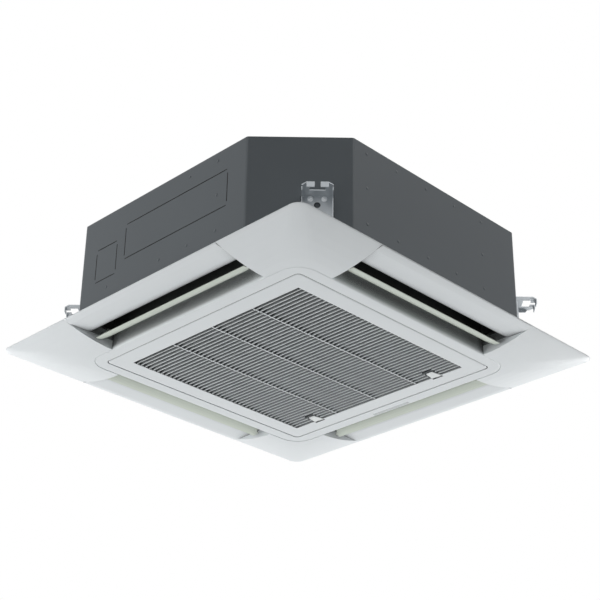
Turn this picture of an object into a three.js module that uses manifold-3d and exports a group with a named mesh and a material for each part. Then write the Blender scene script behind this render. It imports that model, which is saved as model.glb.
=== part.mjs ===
// Ceiling cassette air conditioner, four-way, as it hangs above a suspended ceiling.
//
// Millimetres, +Z up. The origin is the middle of the underside of the decoration panel:
// z = 0 is the flat plateau that people see from the room, CEILING is the plane of the
// ceiling boards, and the casing stands above it on four hanger brackets.
// -Y is the side with the bare nameplate band, +Y the side with the grille latches.
// A distance "d" is measured from the middle of the unit square to one side, and "s" along it.

import * as THREE from 'three';
import { mergeVertices } from 'three/addons/utils/BufferGeometryUtils.js';
import Module from 'manifold-3d';

const wasm = await Module();
wasm.setup();

// ---------------------------------------------------------------- driving dimensions

const GAP = 0.3; // between pieces that seat on each other

// Plan, from the middle outwards
const PLATEAU_HALF = 338; // flat square inside the four outlets
const OUTLET_WIDTH = 62; // across the duct, from its inner to its outer wall
const CASING_HALF = PLATEAU_HALF + OUTLET_WIDTH + 20;
const PANEL_HALF = CASING_HALF + 55;
const GRILLE_HALF = PLATEAU_HALF - 32.5;

// Decoration panel
const CEILING = 25; // height of the ceiling plane above the plateau
const PANEL_WALL = 2.5;
const DUCT_TOP = 42; // top of the duct walls, where the foam gasket lies
const RIM_RADIUS = 25; // plan radius of the panel's outer corners
const PLATEAU_RADIUS = 50;
const PLATEAU_FILLET = 3;
const OUTLET_HALF = 243; // half the length of a slot
const FLAP_DROP = 5.5; // underside of the outer flap below the ceiling plane
const FLAP_FLAT = 58; // width of the flat stretch and rim of the flap
const ROLL_RADIUS = 9; // rolled-up inner edge of the flap
const COVER_POWER = 1.8; // how late the underside of a corner cover falls away to the rim
const COVER_WALL = 2.5;
const COVER_SKIRT_TOP = 22;
const END_WALL = 5.6; // from the slot's end to the back of the panel's end wall

// Intake grille, filter and latches
const GRILLE_GAP = 1.5; // visible seam round the grille
const GRILLE_RADIUS = 12;
const GRILLE_FACE = 2.5;
const GRILLE_DEPTH = 12.2;
const GRILLE_WALL = 2.5;
const GRILLE_FILLET = 3;
const LOUVRE_HALF = GRILLE_HALF - 43.5; // half the louvred square
const SLAT_PITCH = 12;
const SLAT_WIDTH = 1.8;
const SLAT_LOW = 0.6;
const SLAT_HIGH = 9;
const RIB_PITCH = 126;
const RIB_WIDTH = 2.4;
const HINGE_INSET = 8; // hinge axis from the grille's edge
const HINGE_HEIGHT = 5;
const TRUNNION_RADIUS = 1.5;
const TRUNNION_PLAY = 0.6;
const TRUNNION_LENGTH = 3;
const FILTER_HALF = GRILLE_HALF - 5;
const FILTER_RADIUS = 25;
const FILTER_DEPTH = 5;
const FILTER_BORDER = 12;
const FILTER_RIBS = 5;
const LATCH_OFFSET = 187; // of each latch from the middle
const LATCH_LENGTH = 27;
const LATCH_WIDE = 28;
const LATCH_NARROW = 18;
const LATCH_TIP = GRILLE_HALF - 68.5; // end of the finger tab nearest the middle
const LATCH_BAR = 12; // width of the bar behind the frame
const LATCH_BAR_DEPTH = 2.2;
const LATCH_TRAVEL = 8;

// Air vanes and their stepper motors
const VANE_RADIUS = 48;
const VANE_THICK = 3;
const VANE_EDGE = 1.4;
const VANE_HALF = 236;
const VANE_PIVOT = { d: PLATEAU_HALF + 29.5, z: 27 };
const VANE_INNER_EDGE = { d: PLATEAU_HALF + 12, z: 33 };
const VANE_OUTER_EDGE = { d: PLATEAU_HALF + 52, z: 9 };
const VANE_END_CUT = 11;
const VANE_PIN_RADIUS = 2.5;
const PIN_PLAY = 0.8;
const VANE_MOTOR_RADIUS = 12;
const VANE_MOTOR_LENGTH = 14;

// Receiver window in the plateau, beside the latches
const RECEIVER = { x: -10, y: 329, length: 112, width: 8, depth: 1.6 };

// Casing
const CASING_LOW = 43;
const CASING_HIGH = 289;
const CHAMFER_LEG = 154;
const BEND_RADIUS = 9;
const SHEET = 1;
const CASING_LIP = 15;
const SEAM_OFFSET = 12; // where the two side sheets meet, from the bend on a chamfer
const TOP_RECESS = 2; // top plate below the edge of the side sheets
const TOP_BEAD = 1.6;
const KNOCKOUTS = [
  { x0: -118, x1: 210, z0: 148, z1: 235 },
  { x0: -217, x1: -146, z0: 124, z1: 206 },
];
const SCORE = 1.2; // width of a scored line round a knock-out
const SCORE_BRIDGE = 9;

// Hanger brackets
const ROD = { x: 390, y: 340 }; // threaded rods, 780 x 680 apart
const ROD_SLOT = 12;
const BRACKET_SHEET = 2;
const BRACKET_WIDTH = 64;
const BRACKET_REACH = 54.9; // of the flange from the chamfer
const BRACKET_FLANGE_TOP = 147;
const BRACKET_FOOT = 70;
const BRACKET_LIP = 12; // folded down at the tip of the flange
const BRACKET_CORNER = 10; // cut off each corner of the tip
const BRACKET_HOLE = { radius: 7, drop: 22 };
const ROD_WINDOW = { inwards: 6, outwards: 12, half: 16 }; // where a rod and its washer go in
const CHEEK_DEPTH = 10; // of the folded sides beside the back
const CHEEK_DROP = 8; // and below the flange
const CHEEK_REACH = 42;
const CHEEK_SLANT = 6;

// Drain pan of expanded foam
const PAN_TROUGH_LOW = 60;
const PAN_BLOCK_TOP = 75;
const PAN_RIM_TOP = 105;
const PAN_OPENING = PLATEAU_HALF - 48;
const PAN_LIP = 6;
const PAN_LIP_TOP = 66;
const PAN_TROUGH_OUTER = PLATEAU_HALF - 4;

// Insulation liner
const LINER_WALL = 12;
const LINER_TOP = 8;

// Bell mouth and fan
const BELL_SHEET = 2.5;
const BELL_THROAT = 198;
const BELL_FLARE = 58;
const BELL_HEIGHT = 28;
const FAN_RADIUS = 240;
const FAN_EYE_GAP = 4;
const FAN_SHROUD_LOW = 90;
const FAN_SHROUD_RISE = 20;
const FAN_HUB_TOP = 236;
const FAN_WALL = 2.5;
const FAN_BLADES = 7;
const BLADE_INNER = 150;
const BLADE_SWEEP = 34; // degrees from the inner to the outer edge
const BLADE_THICK = 3;
const DOME_TOP_RADIUS = 104;
const DOME_LOW_RADIUS = 78;
const DOME_LOW = 180;
const HUB_RADIUS = 16;
const SHAFT_RADIUS = 6;
const SHAFT_LOW = 150;
const NUT_RADIUS = 11;
const NUT_HEIGHT = 9;
const MOTOR_RADIUS = 70;
const MOTOR_LOW = 190;
const MOTOR_PLATE = 3;
const MOTOR_PLATE_HALF = 88;
const MOUNT_RADIUS = 11;
const MOUNT_OFFSET = 70;
const MOUNT_HEIGHT = 20;

// Heat exchanger, pipes, pump
const COIL_INNER = PAN_OPENING + 10;
const COIL_DEPTH = 30;
const COIL_RADIUS = 75;
const COIL_END = 205; // where the two ends of the coil stand, from the middle
const COIL_PLATE = 2;
const BEND_TUBE = 4.5;
const BEND_COUNT = 5;
const GAS_PIPE_RADIUS = 8;
const LIQUID_PIPE_RADIUS = 4.8;
const PIPE_REACH = 42; // outside the chamfer
const PIPE_HEIGHT = { gas: 190.5, liquid: 234 };
const PIPE_OFFSET = { gas: 62, liquid: 30 };
const PUMP = { x: -296, y: 290, radius: 30, low: 84, high: 178, foot: 10, footX: -314 };
const FLOAT = { x: -318, y: 239, radius: 11, height: 40 };
const DRAIN = { y: 224, z: 226, radius: 13, reach: 40, wall: 2 };
const COVER_PLATE = { width: 92, low: 168, high: 250 };

// Control box
const BOX_HALF = 190;
const BOX_DEPTH = 82;
const BOX_HEIGHT = 38;
const BOX_SHEET = 1.2;

const ARC_STEPS = 5; // facets in a quarter turn of a plan corner
const TURN_STEPS = 32; // facets round the air path

// ---------------------------------------------------------------- derived places

const outletInner = PLATEAU_HALF;
const outletOuter = PLATEAU_HALF + OUTLET_WIDTH;
const openingHalf = GRILLE_HALF + GRILLE_GAP;
const chamferDistance = (2 * CASING_HALF - CHAMFER_LEG) / Math.SQRT2;
const insideCasing = SHEET + GAP;
const topPlateLow = CASING_HIGH - TOP_RECESS - SHEET;
const linerHigh = topPlateLow - GAP;
const linerCeiling = linerHigh - LINER_TOP;
const hingeY = HINGE_INSET - GRILLE_HALF;
const filterLow = SLAT_HIGH + GAP;
const latchBarLow = GRILLE_FACE + 2 * GAP;
const latchBarHigh = latchBarLow + LATCH_BAR_DEPTH;
const panLow = CASING_LOW + SHEET + GAP;
const coilLow = PAN_TROUGH_LOW + GAP;
const coilHigh = linerCeiling - GAP;
const coilOuter = COIL_INNER + COIL_DEPTH;
const bellLow = PAN_LIP_TOP + GAP;
const panLipHalf = PAN_OPENING + PAN_LIP;
const panLipRadius = COIL_RADIUS - (coilOuter - panLipHalf);
const mountLow = linerHigh - MOUNT_HEIGHT;
const motorPlateLow = mountLow - GAP - MOTOR_PLATE;
const motorHigh = motorPlateLow - GAP;
const coverFall = CEILING; // the corner cover falls from the plateau to the ceiling plane

// ---------------------------------------------------------------- solids

/** A closed geometry as a solid that can be joined and cut. */
function solidOf(geometry) {
  const bare = geometry.clone();
  bare.deleteAttribute('normal');
  bare.deleteAttribute('uv');
  const merged = mergeVertices(bare, 1e-4);
  const index = merged.index.array;
  const triangles = [];
  for (let i = 0; i < index.length; i += 3) {
    const [a, b, c] = [index[i], index[i + 1], index[i + 2]];
    if (a !== b && b !== c && c !== a) triangles.push(a, b, c);
  }
  return solidFrom(merged.attributes.position.array, triangles);
}

/** A solid from a list of coordinates and a list of triangles. */
function solidFrom(coordinates, triangles) {
  const vertProperties = Float32Array.from(coordinates);
  const triVerts = Uint32Array.from(triangles);
  return new wasm.Manifold(new wasm.Mesh({ numProp: 3, vertProperties, triVerts }));
}

/** The triangles of a solid as a geometry. */
function geometryOf(solid) {
  const mesh = solid.getMesh();
  const geometry = new THREE.BufferGeometry();
  const position = new THREE.BufferAttribute(Float32Array.from(mesh.vertProperties), 3);
  geometry.setAttribute('position', position);
  geometry.setIndex(new THREE.BufferAttribute(Uint32Array.from(mesh.triVerts), 1));
  return geometry;
}

/** A copy of a solid, moved by a matrix; a mirroring one turns its triangles round. */
function moved(solid, matrix) {
  const geometry = geometryOf(solid).applyMatrix4(matrix);
  const index = Array.from(geometry.index.array);
  if (matrix.determinant() < 0) index.reverse();
  return solidFrom(geometry.attributes.position.array, index);
}

/** Joins a list of solids into one. */
function join(solids) {
  return solids.reduce((whole, solid) => whole.add(solid));
}

/** Cuts a list of solids out of one. */
function cut(solid, tools) {
  return tools.reduce((rest, tool) => rest.subtract(tool), solid);
}

/** A block between pairs of x, y and z. */
function block([x0, x1], [y0, y1], [z0, z1]) {
  const geometry = new THREE.BoxGeometry(x1 - x0, y1 - y0, z1 - z0);
  geometry.translate((x0 + x1) / 2, (y0 + y1) / 2, (z0 + z1) / 2);
  return solidOf(geometry);
}

/** A plan outline raised from one height to another. */
function prism(outline, low, high) {
  const settings = { depth: high - low, bevelEnabled: false, steps: 1 };
  const geometry = new THREE.ExtrudeGeometry(new THREE.Shape(outline), settings);
  geometry.translate(0, 0, low);
  return solidOf(geometry);
}

/** A section drawn in (d, z), drawn out along the +X side from s0 to s1. */
function alongSide(section, s0, s1) {
  const points = section.map(([d, z]) => new THREE.Vector2(d, z));
  const settings = { depth: s1 - s0, bevelEnabled: false, steps: 1 };
  const geometry = new THREE.ExtrudeGeometry(new THREE.Shape(points), settings);
  geometry.translate(0, 0, -s1);
  geometry.rotateX(Math.PI / 2);
  return solidOf(geometry);
}

/** The points of a closed outline, anticlockwise. */
function anticlockwise(points) {
  return THREE.ShapeUtils.area(points) < 0 ? [...points].reverse() : points;
}

/** A closed (radius, height) profile turned about the Z axis. */
function turned(profile, steps = TURN_STEPS) {
  const points = anticlockwise(profile.map(([r, z]) => new THREE.Vector2(r, z)));
  points.push(points[0].clone());
  const geometry = new THREE.LatheGeometry(points, steps);
  geometry.rotateX(Math.PI / 2);
  return solidOf(geometry);
}

/** An upright cylinder. */
function cylinder(x, y, radius, low, high, steps = 20) {
  const geometry = new THREE.CylinderGeometry(radius, radius, high - low, steps);
  geometry.rotateX(Math.PI / 2);
  geometry.translate(x, y, (low + high) / 2);
  return solidOf(geometry);
}

/** A cylinder along the Y axis of the +X side, about a point of its section. */
function pin(d, z, radius, s0, s1, steps = 12) {
  const geometry = new THREE.CylinderGeometry(radius, radius, s1 - s0, steps);
  geometry.translate(d, (s0 + s1) / 2, z);
  return solidOf(geometry);
}

/** A cylinder along X, at a y and a height. */
function crossPin(y, z, radius, x0, x1, steps = 12) {
  const geometry = new THREE.CylinderGeometry(radius, radius, x1 - x0, steps);
  geometry.rotateZ(Math.PI / 2);
  geometry.translate((x0 + x1) / 2, y, z);
  return solidOf(geometry);
}

/** A round tube or rod along a curve through points. */
function rod(points, radius, steps, sides = 10) {
  const route = new THREE.CatmullRomCurve3(points.map((p) => new THREE.Vector3(...p)));
  const section = [];
  for (let i = 0; i < sides; i += 1) {
    const angle = (2 * Math.PI * i) / sides;
    section.push(new THREE.Vector2(radius * Math.cos(angle), radius * Math.sin(angle)));
  }
  const settings = { steps, extrudePath: route, bevelEnabled: false };
  return solidOf(new THREE.ExtrudeGeometry(new THREE.Shape(section), settings));
}

/** A polygon whose corners are rounded by arcs, kept sharp where the radius is tiny. */
function rounded(corners, radius, steps = ARC_STEPS) {
  const points = corners.map(([x, y]) => new THREE.Vector2(x, y));
  if (radius < 0.5) return points;
  const outline = [];
  points.forEach((corner, i) => {
    const toBefore = points.at(i - 1).clone().sub(corner).normalize();
    const toAfter = points[(i + 1) % points.length].clone().sub(corner).normalize();
    const halfAngle = Math.acos(toBefore.dot(toAfter)) / 2;
    const reach = radius / Math.tan(halfAngle);
    const bisector = toBefore.clone().add(toAfter).normalize();
    const centre = corner.clone().addScaledVector(bisector, radius / Math.sin(halfAngle));
    const first = corner.clone().addScaledVector(toBefore, reach).sub(centre);
    const last = corner.clone().addScaledVector(toAfter, reach).sub(centre);
    const turn = Math.atan2(first.cross(last), first.dot(last));
    for (let step = 0; step <= steps; step += 1) {
      const point = first.clone().rotateAround(new THREE.Vector2(), (turn * step) / steps);
      outline.push(point.add(centre));
    }
  });
  return outline;
}

/** A square about the middle with rounded corners. */
function square(half, radius = 0) {
  return rounded([[half, -half], [half, half], [-half, half], [-half, -half]], radius);
}

/** A rectangle with rounded corners. */
function rectangle([x0, x1], [y0, y1], radius = 0) {
  return rounded([[x1, y0], [x1, y1], [x0, y1], [x0, y0]], radius);
}

/** The casing's plan outline with its chamfered corners, moved in by an inset. */
function casingOutline(inset) {
  const half = CASING_HALF - inset;
  const near = (chamferDistance - inset) * Math.SQRT2 - half;
  const corners = [
    [half, -near], [half, near], [near, half], [-near, half],
    [-half, near], [-half, -near], [-near, -half], [near, -half],
  ];
  return rounded(corners, BEND_RADIUS - inset, 4);
}

/** A closed profile of {d, z, r}, carried round a square whose corner radius is r. */
function ringSweep(profile) {
  const ringSize = 4 * (ARC_STEPS + 1);
  const positions = [];
  const outline = anticlockwise(profile.map(({ d, z, r }) => ({ x: d, y: z, r })));
  outline.forEach(({ x: d, y: z, r }) => {
    square(d, Math.max(r, 0.6)).forEach((point) => positions.push(point.x, point.y, z));
  });
  const index = [];
  for (let ring = 0; ring < profile.length; ring += 1) {
    const next = (ring + 1) % profile.length;
    for (let i = 0; i < ringSize; i += 1) {
      const j = (i + 1) % ringSize;
      const [a, b] = [ring * ringSize + i, ring * ringSize + j];
      const [c, d] = [next * ringSize + i, next * ringSize + j];
      index.push(a, b, c, b, d, c);
    }
  }
  const geometry = new THREE.BufferGeometry();
  geometry.setAttribute('position', new THREE.Float32BufferAttribute(positions, 3));
  geometry.setIndex(index);
  return solidOf(geometry);
}

/** The same solid on all four sides. */
function onEverySide(solid) {
  return [0, 1, 2, 3].map((side) => moved(solid, new THREE.Matrix4().makeRotationZ((side * Math.PI) / 2)));
}

/** A solid beside its mirror image across the plane where x is zero. */
function onBothHands(solid) {
  return [solid, moved(solid, new THREE.Matrix4().makeScale(-1, 1, 1))];
}

// ---------------------------------------------------------------- decoration panel

/** Height of the underside of a corner cover at distance d from the middle. */
function coverHeight(d) {
  const along = Math.min(Math.max((d - outletInner) / (PANEL_HALF - outletInner), 0), 1);
  return coverFall * along ** COVER_POWER;
}

/** Plan radius of the corner cover's surface at distance d, from plateau to rim. */
function coverRadius(d) {
  const along = (d - outletInner) / (PANEL_HALF - outletInner);
  return PLATEAU_RADIUS + (RIM_RADIUS - PLATEAU_RADIUS) * along;
}

/** A curved plate that follows the corner covers, between two offsets above them. */
function coverShell(d0, d1, lift, thickness, steps) {
  const under = [];
  const over = [];
  for (let i = 0; i <= steps; i += 1) {
    const d = d0 + ((d1 - d0) * i) / steps;
    const low = Math.min(coverHeight(d) + lift, CEILING - 0.4);
    under.push({ d, z: low, r: coverRadius(d) });
    over.unshift({ d, z: Math.min(low + thickness, CEILING), r: coverRadius(d) });
  }
  return ringSweep([...under, ...over]);
}

/** The plateau with the intake wall and the inner wall of the ducts. */
function plateauRing() {
  const wallInner = outletInner - PANEL_WALL;
  const intake = openingHalf + PANEL_WALL;
  const shrink = (d) => PLATEAU_RADIUS - (outletInner - d);
  const corner = outletInner - PLATEAU_FILLET;
  return ringSweep([
    { d: openingHalf, z: 0, r: GRILLE_RADIUS },
    { d: corner, z: 0, r: shrink(corner) },
    { d: outletInner - 0.9, z: 0.9, r: shrink(outletInner - 0.9) },
    { d: outletInner, z: PLATEAU_FILLET, r: PLATEAU_RADIUS },
    { d: outletInner, z: DUCT_TOP, r: PLATEAU_RADIUS },
    { d: wallInner, z: DUCT_TOP, r: shrink(wallInner) },
    { d: wallInner, z: PANEL_WALL, r: shrink(wallInner) },
    { d: intake, z: PANEL_WALL, r: GRILLE_RADIUS + PANEL_WALL },
    { d: intake, z: DUCT_TOP - 2, r: GRILLE_RADIUS + PANEL_WALL },
    { d: openingHalf, z: DUCT_TOP - 2, r: GRILLE_RADIUS },
  ]);
}

/** The outer flap of an outlet with its rolled edge and the duct's outer wall. */
function flap() {
  const low = CEILING - FLAP_DROP;
  const flatEnd = PANEL_HALF - FLAP_FLAT;
  const rollEnd = outletOuter - 2.5;
  const lip = low + ROLL_RADIUS;
  const wall = outletOuter + PANEL_WALL;
  const section = [
    [PANEL_HALF, CEILING],
    [PANEL_HALF - 9, CEILING],
    [PANEL_HALF - 13, CEILING - 1.6],
    [PANEL_HALF - 18, low + PANEL_WALL],
    [flatEnd, low + PANEL_WALL],
    [flatEnd - 8, low + PANEL_WALL + 1],
    [wall, lip - 2],
    [wall, DUCT_TOP],
    [outletOuter, DUCT_TOP],
    [outletOuter, lip + 2],
    [rollEnd, lip + 0.5],
    [rollEnd + 0.3, lip - 2.5],
    [rollEnd + 3.5, lip - 5.8],
    [rollEnd + 9.5, low + 0.9],
    [flatEnd, low],
    [PANEL_HALF - 19, low + 0.1],
    [PANEL_HALF - 13, low + 1.1],
    [PANEL_HALF - 6, low + 2.5],
    [PANEL_HALF - 2, low + 3.7],
  ];
  const half = OUTLET_HALF - GAP;
  const upper = [[outletOuter, lip + 2], [wall, lip + 2], [wall, DUCT_TOP], [outletOuter, DUCT_TOP]];
  const reach = OUTLET_HALF + END_WALL;
  return alongSide(section, -half, half).add(alongSide(upper, -reach, reach));
}

/** The two end walls of an outlet, level with the corner covers' skirts below them. */
function endWalls() {
  const shelf = COVER_SKIRT_TOP + GAP;
  const inner = outletInner - 1;
  const outer = outletOuter + PANEL_WALL;
  const lower = [[inner, 4], [outletInner + 22, 4.5], [outletInner + 44, 8], [outer, 11]];
  lower.push([outer, shelf + 1], [inner, shelf + 1]);
  const upper = [[inner, shelf], [outer, shelf], [outer, DUCT_TOP], [inner, DUCT_TOP]];
  const rear = OUTLET_HALF + END_WALL;
  const behind = rear - PANEL_WALL;
  return join([
    alongSide(upper, OUTLET_HALF, rear), alongSide(lower, behind, rear),
    alongSide(upper, -rear, -OUTLET_HALF), alongSide(lower, -rear, -behind),
  ]);
}

/** The corner backing that carries a corner cover. */
function cornerBacking() {
  const shell = coverShell(outletInner - 1, PANEL_HALF - 9, COVER_WALL + GAP, PANEL_WALL, 4);
  const near = OUTLET_HALF + END_WALL - PANEL_WALL;
  return shell.intersect(block([near, PANEL_HALF], [near, PANEL_HALF], [-1, CEILING + 1]));
}

function panelFrame() {
  const pinReach = OUTLET_HALF + END_WALL + 1;
  const pinHole = pin(VANE_PIVOT.d, VANE_PIVOT.z, VANE_PIN_RADIUS + PIN_PLAY, -pinReach, pinReach);
  const socketReach = openingHalf + PANEL_WALL + 1;
  const socketRadius = TRUNNION_RADIUS + TRUNNION_PLAY;
  const sockets = crossPin(hingeY, HINGE_HEIGHT, socketRadius, -socketReach, socketReach);
  const { x, y, length, width, depth } = RECEIVER;
  const window = block(
    [x - length / 2 - GAP, x + length / 2 + GAP],
    [y - width / 2 - GAP, y + width / 2 + GAP],
    [-1, depth + GAP],
  );
  const keeper = block(
    [LATCH_OFFSET - LATCH_BAR / 2 - 1, LATCH_OFFSET + LATCH_BAR / 2 + 1],
    [openingHalf - 1, openingHalf + PANEL_WALL + 1],
    [latchBarLow - 0.5, latchBarHigh + 0.5],
  );
  const whole = join([
    plateauRing(), ...onEverySide(cornerBacking()), ...onEverySide(flap()), ...onEverySide(endWalls()),
  ]);
  return cut(whole, [...onEverySide(pinHole), sockets, window, ...onBothHands(keeper)]);
}

/** A corner cover with its two skirts, for the corner between +X and +Y. */
function cornerCover() {
  const near = OUTLET_HALF + GAP;
  const shell = coverShell(outletInner + GAP, PANEL_HALF, 0, COVER_WALL, 6);
  const corner = shell.intersect(block([near, PANEL_HALF + 1], [near, PANEL_HALF + 1], [-1, CEILING]));
  const steps = 5;
  const skirtSection = [];
  const from = outletInner + GAP;
  const to = PANEL_HALF - 12;
  for (let i = 0; i <= steps; i += 1) {
    const d = from + ((to - from) * i) / steps;
    skirtSection.push([d, Math.min(coverHeight(d) + 0.4, COVER_SKIRT_TOP - 0.2)]);
  }
  skirtSection.push([to, COVER_SKIRT_TOP], [from, COVER_SKIRT_TOP]);
  const skirt = alongSide(skirtSection, near, near + COVER_WALL);
  const swapSides = new THREE.Matrix4().set(0, 1, 0, 0, 1, 0, 0, 0, 0, 0, 1, 0, 0, 0, 0, 1);
  return join([corner, skirt, moved(skirt, swapSides)]);
}

function panelGasket() {
  const plate = prism(casingOutline(CASING_LIP + 2 * GAP), DUCT_TOP + GAP, panLow - GAP);
  const hole = prism(square(outletInner - 4.5, 40), DUCT_TOP, panLow);
  const slot = block([outletInner, outletOuter], [-OUTLET_HALF, OUTLET_HALF], [DUCT_TOP, panLow]);
  return cut(plate, [hole, ...onEverySide(slot)]);
}

function receiverWindow() {
  const { x, y, length, width, depth } = RECEIVER;
  return block([x - length / 2, x + length / 2], [y - width / 2, y + width / 2], [0.1, depth]);
}

// ---------------------------------------------------------------- intake grille

/** The grille's frame: a face with a rounded edge, and a skirt behind it. */
function grilleFrame() {
  const skirt = GRILLE_HALF - GRILLE_WALL;
  return ringSweep([
    { d: LOUVRE_HALF, z: 0, r: 0 },
    { d: GRILLE_HALF - GRILLE_FILLET, z: 0, r: GRILLE_RADIUS - GRILLE_FILLET },
    { d: GRILLE_HALF - 0.9, z: 0.9, r: GRILLE_RADIUS - 0.9 },
    { d: GRILLE_HALF, z: GRILLE_FILLET, r: GRILLE_RADIUS },
    { d: GRILLE_HALF, z: GRILLE_DEPTH, r: GRILLE_RADIUS },
    { d: skirt, z: GRILLE_DEPTH, r: GRILLE_RADIUS - GRILLE_WALL },
    { d: skirt, z: GRILLE_FACE, r: GRILLE_RADIUS - GRILLE_WALL },
    { d: LOUVRE_HALF, z: GRILLE_FACE, r: 0 },
  ]);
}

/** The louvres: slats along X, tied by ribs along Y, inside a collar. */
function louvres() {
  const collar = LOUVRE_HALF + 2;
  const plate = block([-collar, collar], [-collar, collar], [SLAT_LOW, SLAT_HIGH]);
  const slatCount = Math.floor((2 * LOUVRE_HALF - SLAT_WIDTH) / SLAT_PITCH);
  const ribPlaces = [-LOUVRE_HALF, -RIB_PITCH, 0, RIB_PITCH, LOUVRE_HALF];
  const gaps = [];
  for (let row = 0; row <= slatCount; row += 1) {
    const low = (row - (slatCount + 1) / 2) * SLAT_PITCH + SLAT_WIDTH / 2;
    const high = low + SLAT_PITCH - SLAT_WIDTH;
    const y = [row === 0 ? -LOUVRE_HALF : low, row === slatCount ? LOUVRE_HALF : high];
    for (let column = 1; column < ribPlaces.length; column += 1) {
      const left = ribPlaces[column - 1] + (column === 1 ? 0 : RIB_WIDTH / 2);
      const right = ribPlaces[column] - (column === ribPlaces.length - 1 ? 0 : RIB_WIDTH / 2);
      gaps.push(block([left, right], y, [SLAT_LOW - 1, SLAT_HIGH + 1]));
    }
  }
  return cut(plate, gaps);
}

/** What a latch needs cut out of the grille: its notch, its track and the bar's tunnel. */
function latchRoom() {
  const half = LATCH_WIDE / 2 + 2 * GAP;
  const x = [LATCH_OFFSET - half, LATCH_OFFSET + half];
  const bar = [LATCH_OFFSET - LATCH_BAR / 2 - GAP, LATCH_OFFSET + LATCH_BAR / 2 + GAP];
  const trackStart = LATCH_TIP - LATCH_TRAVEL - 3;
  const notchEnd = LATCH_TIP + LATCH_LENGTH + 6;
  return join([
    block(x, [LOUVRE_HALF - 1, notchEnd], [-1, latchBarLow]),
    block(x, [trackStart, LOUVRE_HALF + 0.01], [-1, latchBarHigh + 0.5]),
    block(bar, [LOUVRE_HALF - 1, GRILLE_HALF + 1], [latchBarLow - GAP, latchBarHigh + GAP]),
  ]);
}

function intakeGrille() {
  const tip = GRILLE_HALF + TRUNNION_LENGTH;
  const root = GRILLE_HALF - GRILLE_RADIUS / 2;
  const trunnion = crossPin(hingeY, HINGE_HEIGHT, TRUNNION_RADIUS, root, tip, 10);
  const moulding = join([grilleFrame(), louvres(), ...onBothHands(trunnion)]);
  return cut(moulding, onBothHands(latchRoom()));
}

/** A latch: a tapered finger tab in the notch and a bar to the keeper, about x = 0. */
function grilleLatch() {
  const tabEnd = LATCH_TIP + LATCH_LENGTH;
  const tab = prism([
    new THREE.Vector2(-LATCH_NARROW / 2, LATCH_TIP), new THREE.Vector2(LATCH_NARROW / 2, LATCH_TIP),
    new THREE.Vector2(LATCH_WIDE / 2, tabEnd), new THREE.Vector2(-LATCH_WIDE / 2, tabEnd),
  ], 0.2, GRILLE_FACE);
  const half = LATCH_BAR / 2;
  const riser = block([-half, half], [LOUVRE_HALF - 7, LOUVRE_HALF - 1], [1, latchBarHigh]);
  const bar = block([-half, half], [LOUVRE_HALF - 4, GRILLE_HALF], [latchBarLow, latchBarHigh]);
  return join([tab, riser, bar]);
}

/** The air filter: a border, ribs and a fine sheet between them. */
function airFilter() {
  const high = filterLow + FILTER_DEPTH;
  const border = prism(square(FILTER_HALF, FILTER_RADIUS), filterLow, high);
  const fieldHalf = FILTER_HALF - FILTER_BORDER;
  const field = prism(square(fieldHalf, FILTER_RADIUS - FILTER_BORDER), filterLow - 1, high + 1);
  const middle = (filterLow + high) / 2;
  const sheetHalf = fieldHalf + 1;
  const wide = [-sheetHalf, sheetHalf];
  const lattice = [block(wide, wide, [middle - 0.4, middle + 0.4])];
  for (let i = 1; i < FILTER_RIBS; i += 1) {
    const place = ((2 * i) / FILTER_RIBS - 1) * sheetHalf;
    lattice.push(block([place - 1.5, place + 1.5], wide, [filterLow, middle]));
  }
  return join([cut(border, [field]), ...lattice]);
}

// ---------------------------------------------------------------- air vanes

/** Centre of the arc through the two edges of a vane, on the side away from the room. */
function vaneCentre() {
  const inner = new THREE.Vector2(VANE_INNER_EDGE.d, VANE_INNER_EDGE.z);
  const outer = new THREE.Vector2(VANE_OUTER_EDGE.d, VANE_OUTER_EDGE.z);
  const chord = outer.clone().sub(inner);
  const height = Math.sqrt(VANE_RADIUS ** 2 - (chord.length() / 2) ** 2);
  const across = new THREE.Vector2(-chord.y, chord.x).normalize();
  return inner.add(outer).multiplyScalar(0.5).addScaledVector(across, height);
}

/** A point of the vane's section: along from 0, inner edge, to 1, at an offset outwards. */
function vanePoint(along, offset) {
  const centre = vaneCentre();
  const inner = new THREE.Vector2(VANE_INNER_EDGE.d, VANE_INNER_EDGE.z).sub(centre);
  const outer = new THREE.Vector2(VANE_OUTER_EDGE.d, VANE_OUTER_EDGE.z).sub(centre);
  const turn = Math.atan2(inner.cross(outer), inner.dot(outer));
  const ray = inner.rotateAround(new THREE.Vector2(), turn * along).normalize();
  return centre.addScaledVector(ray, VANE_RADIUS + offset);
}

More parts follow.
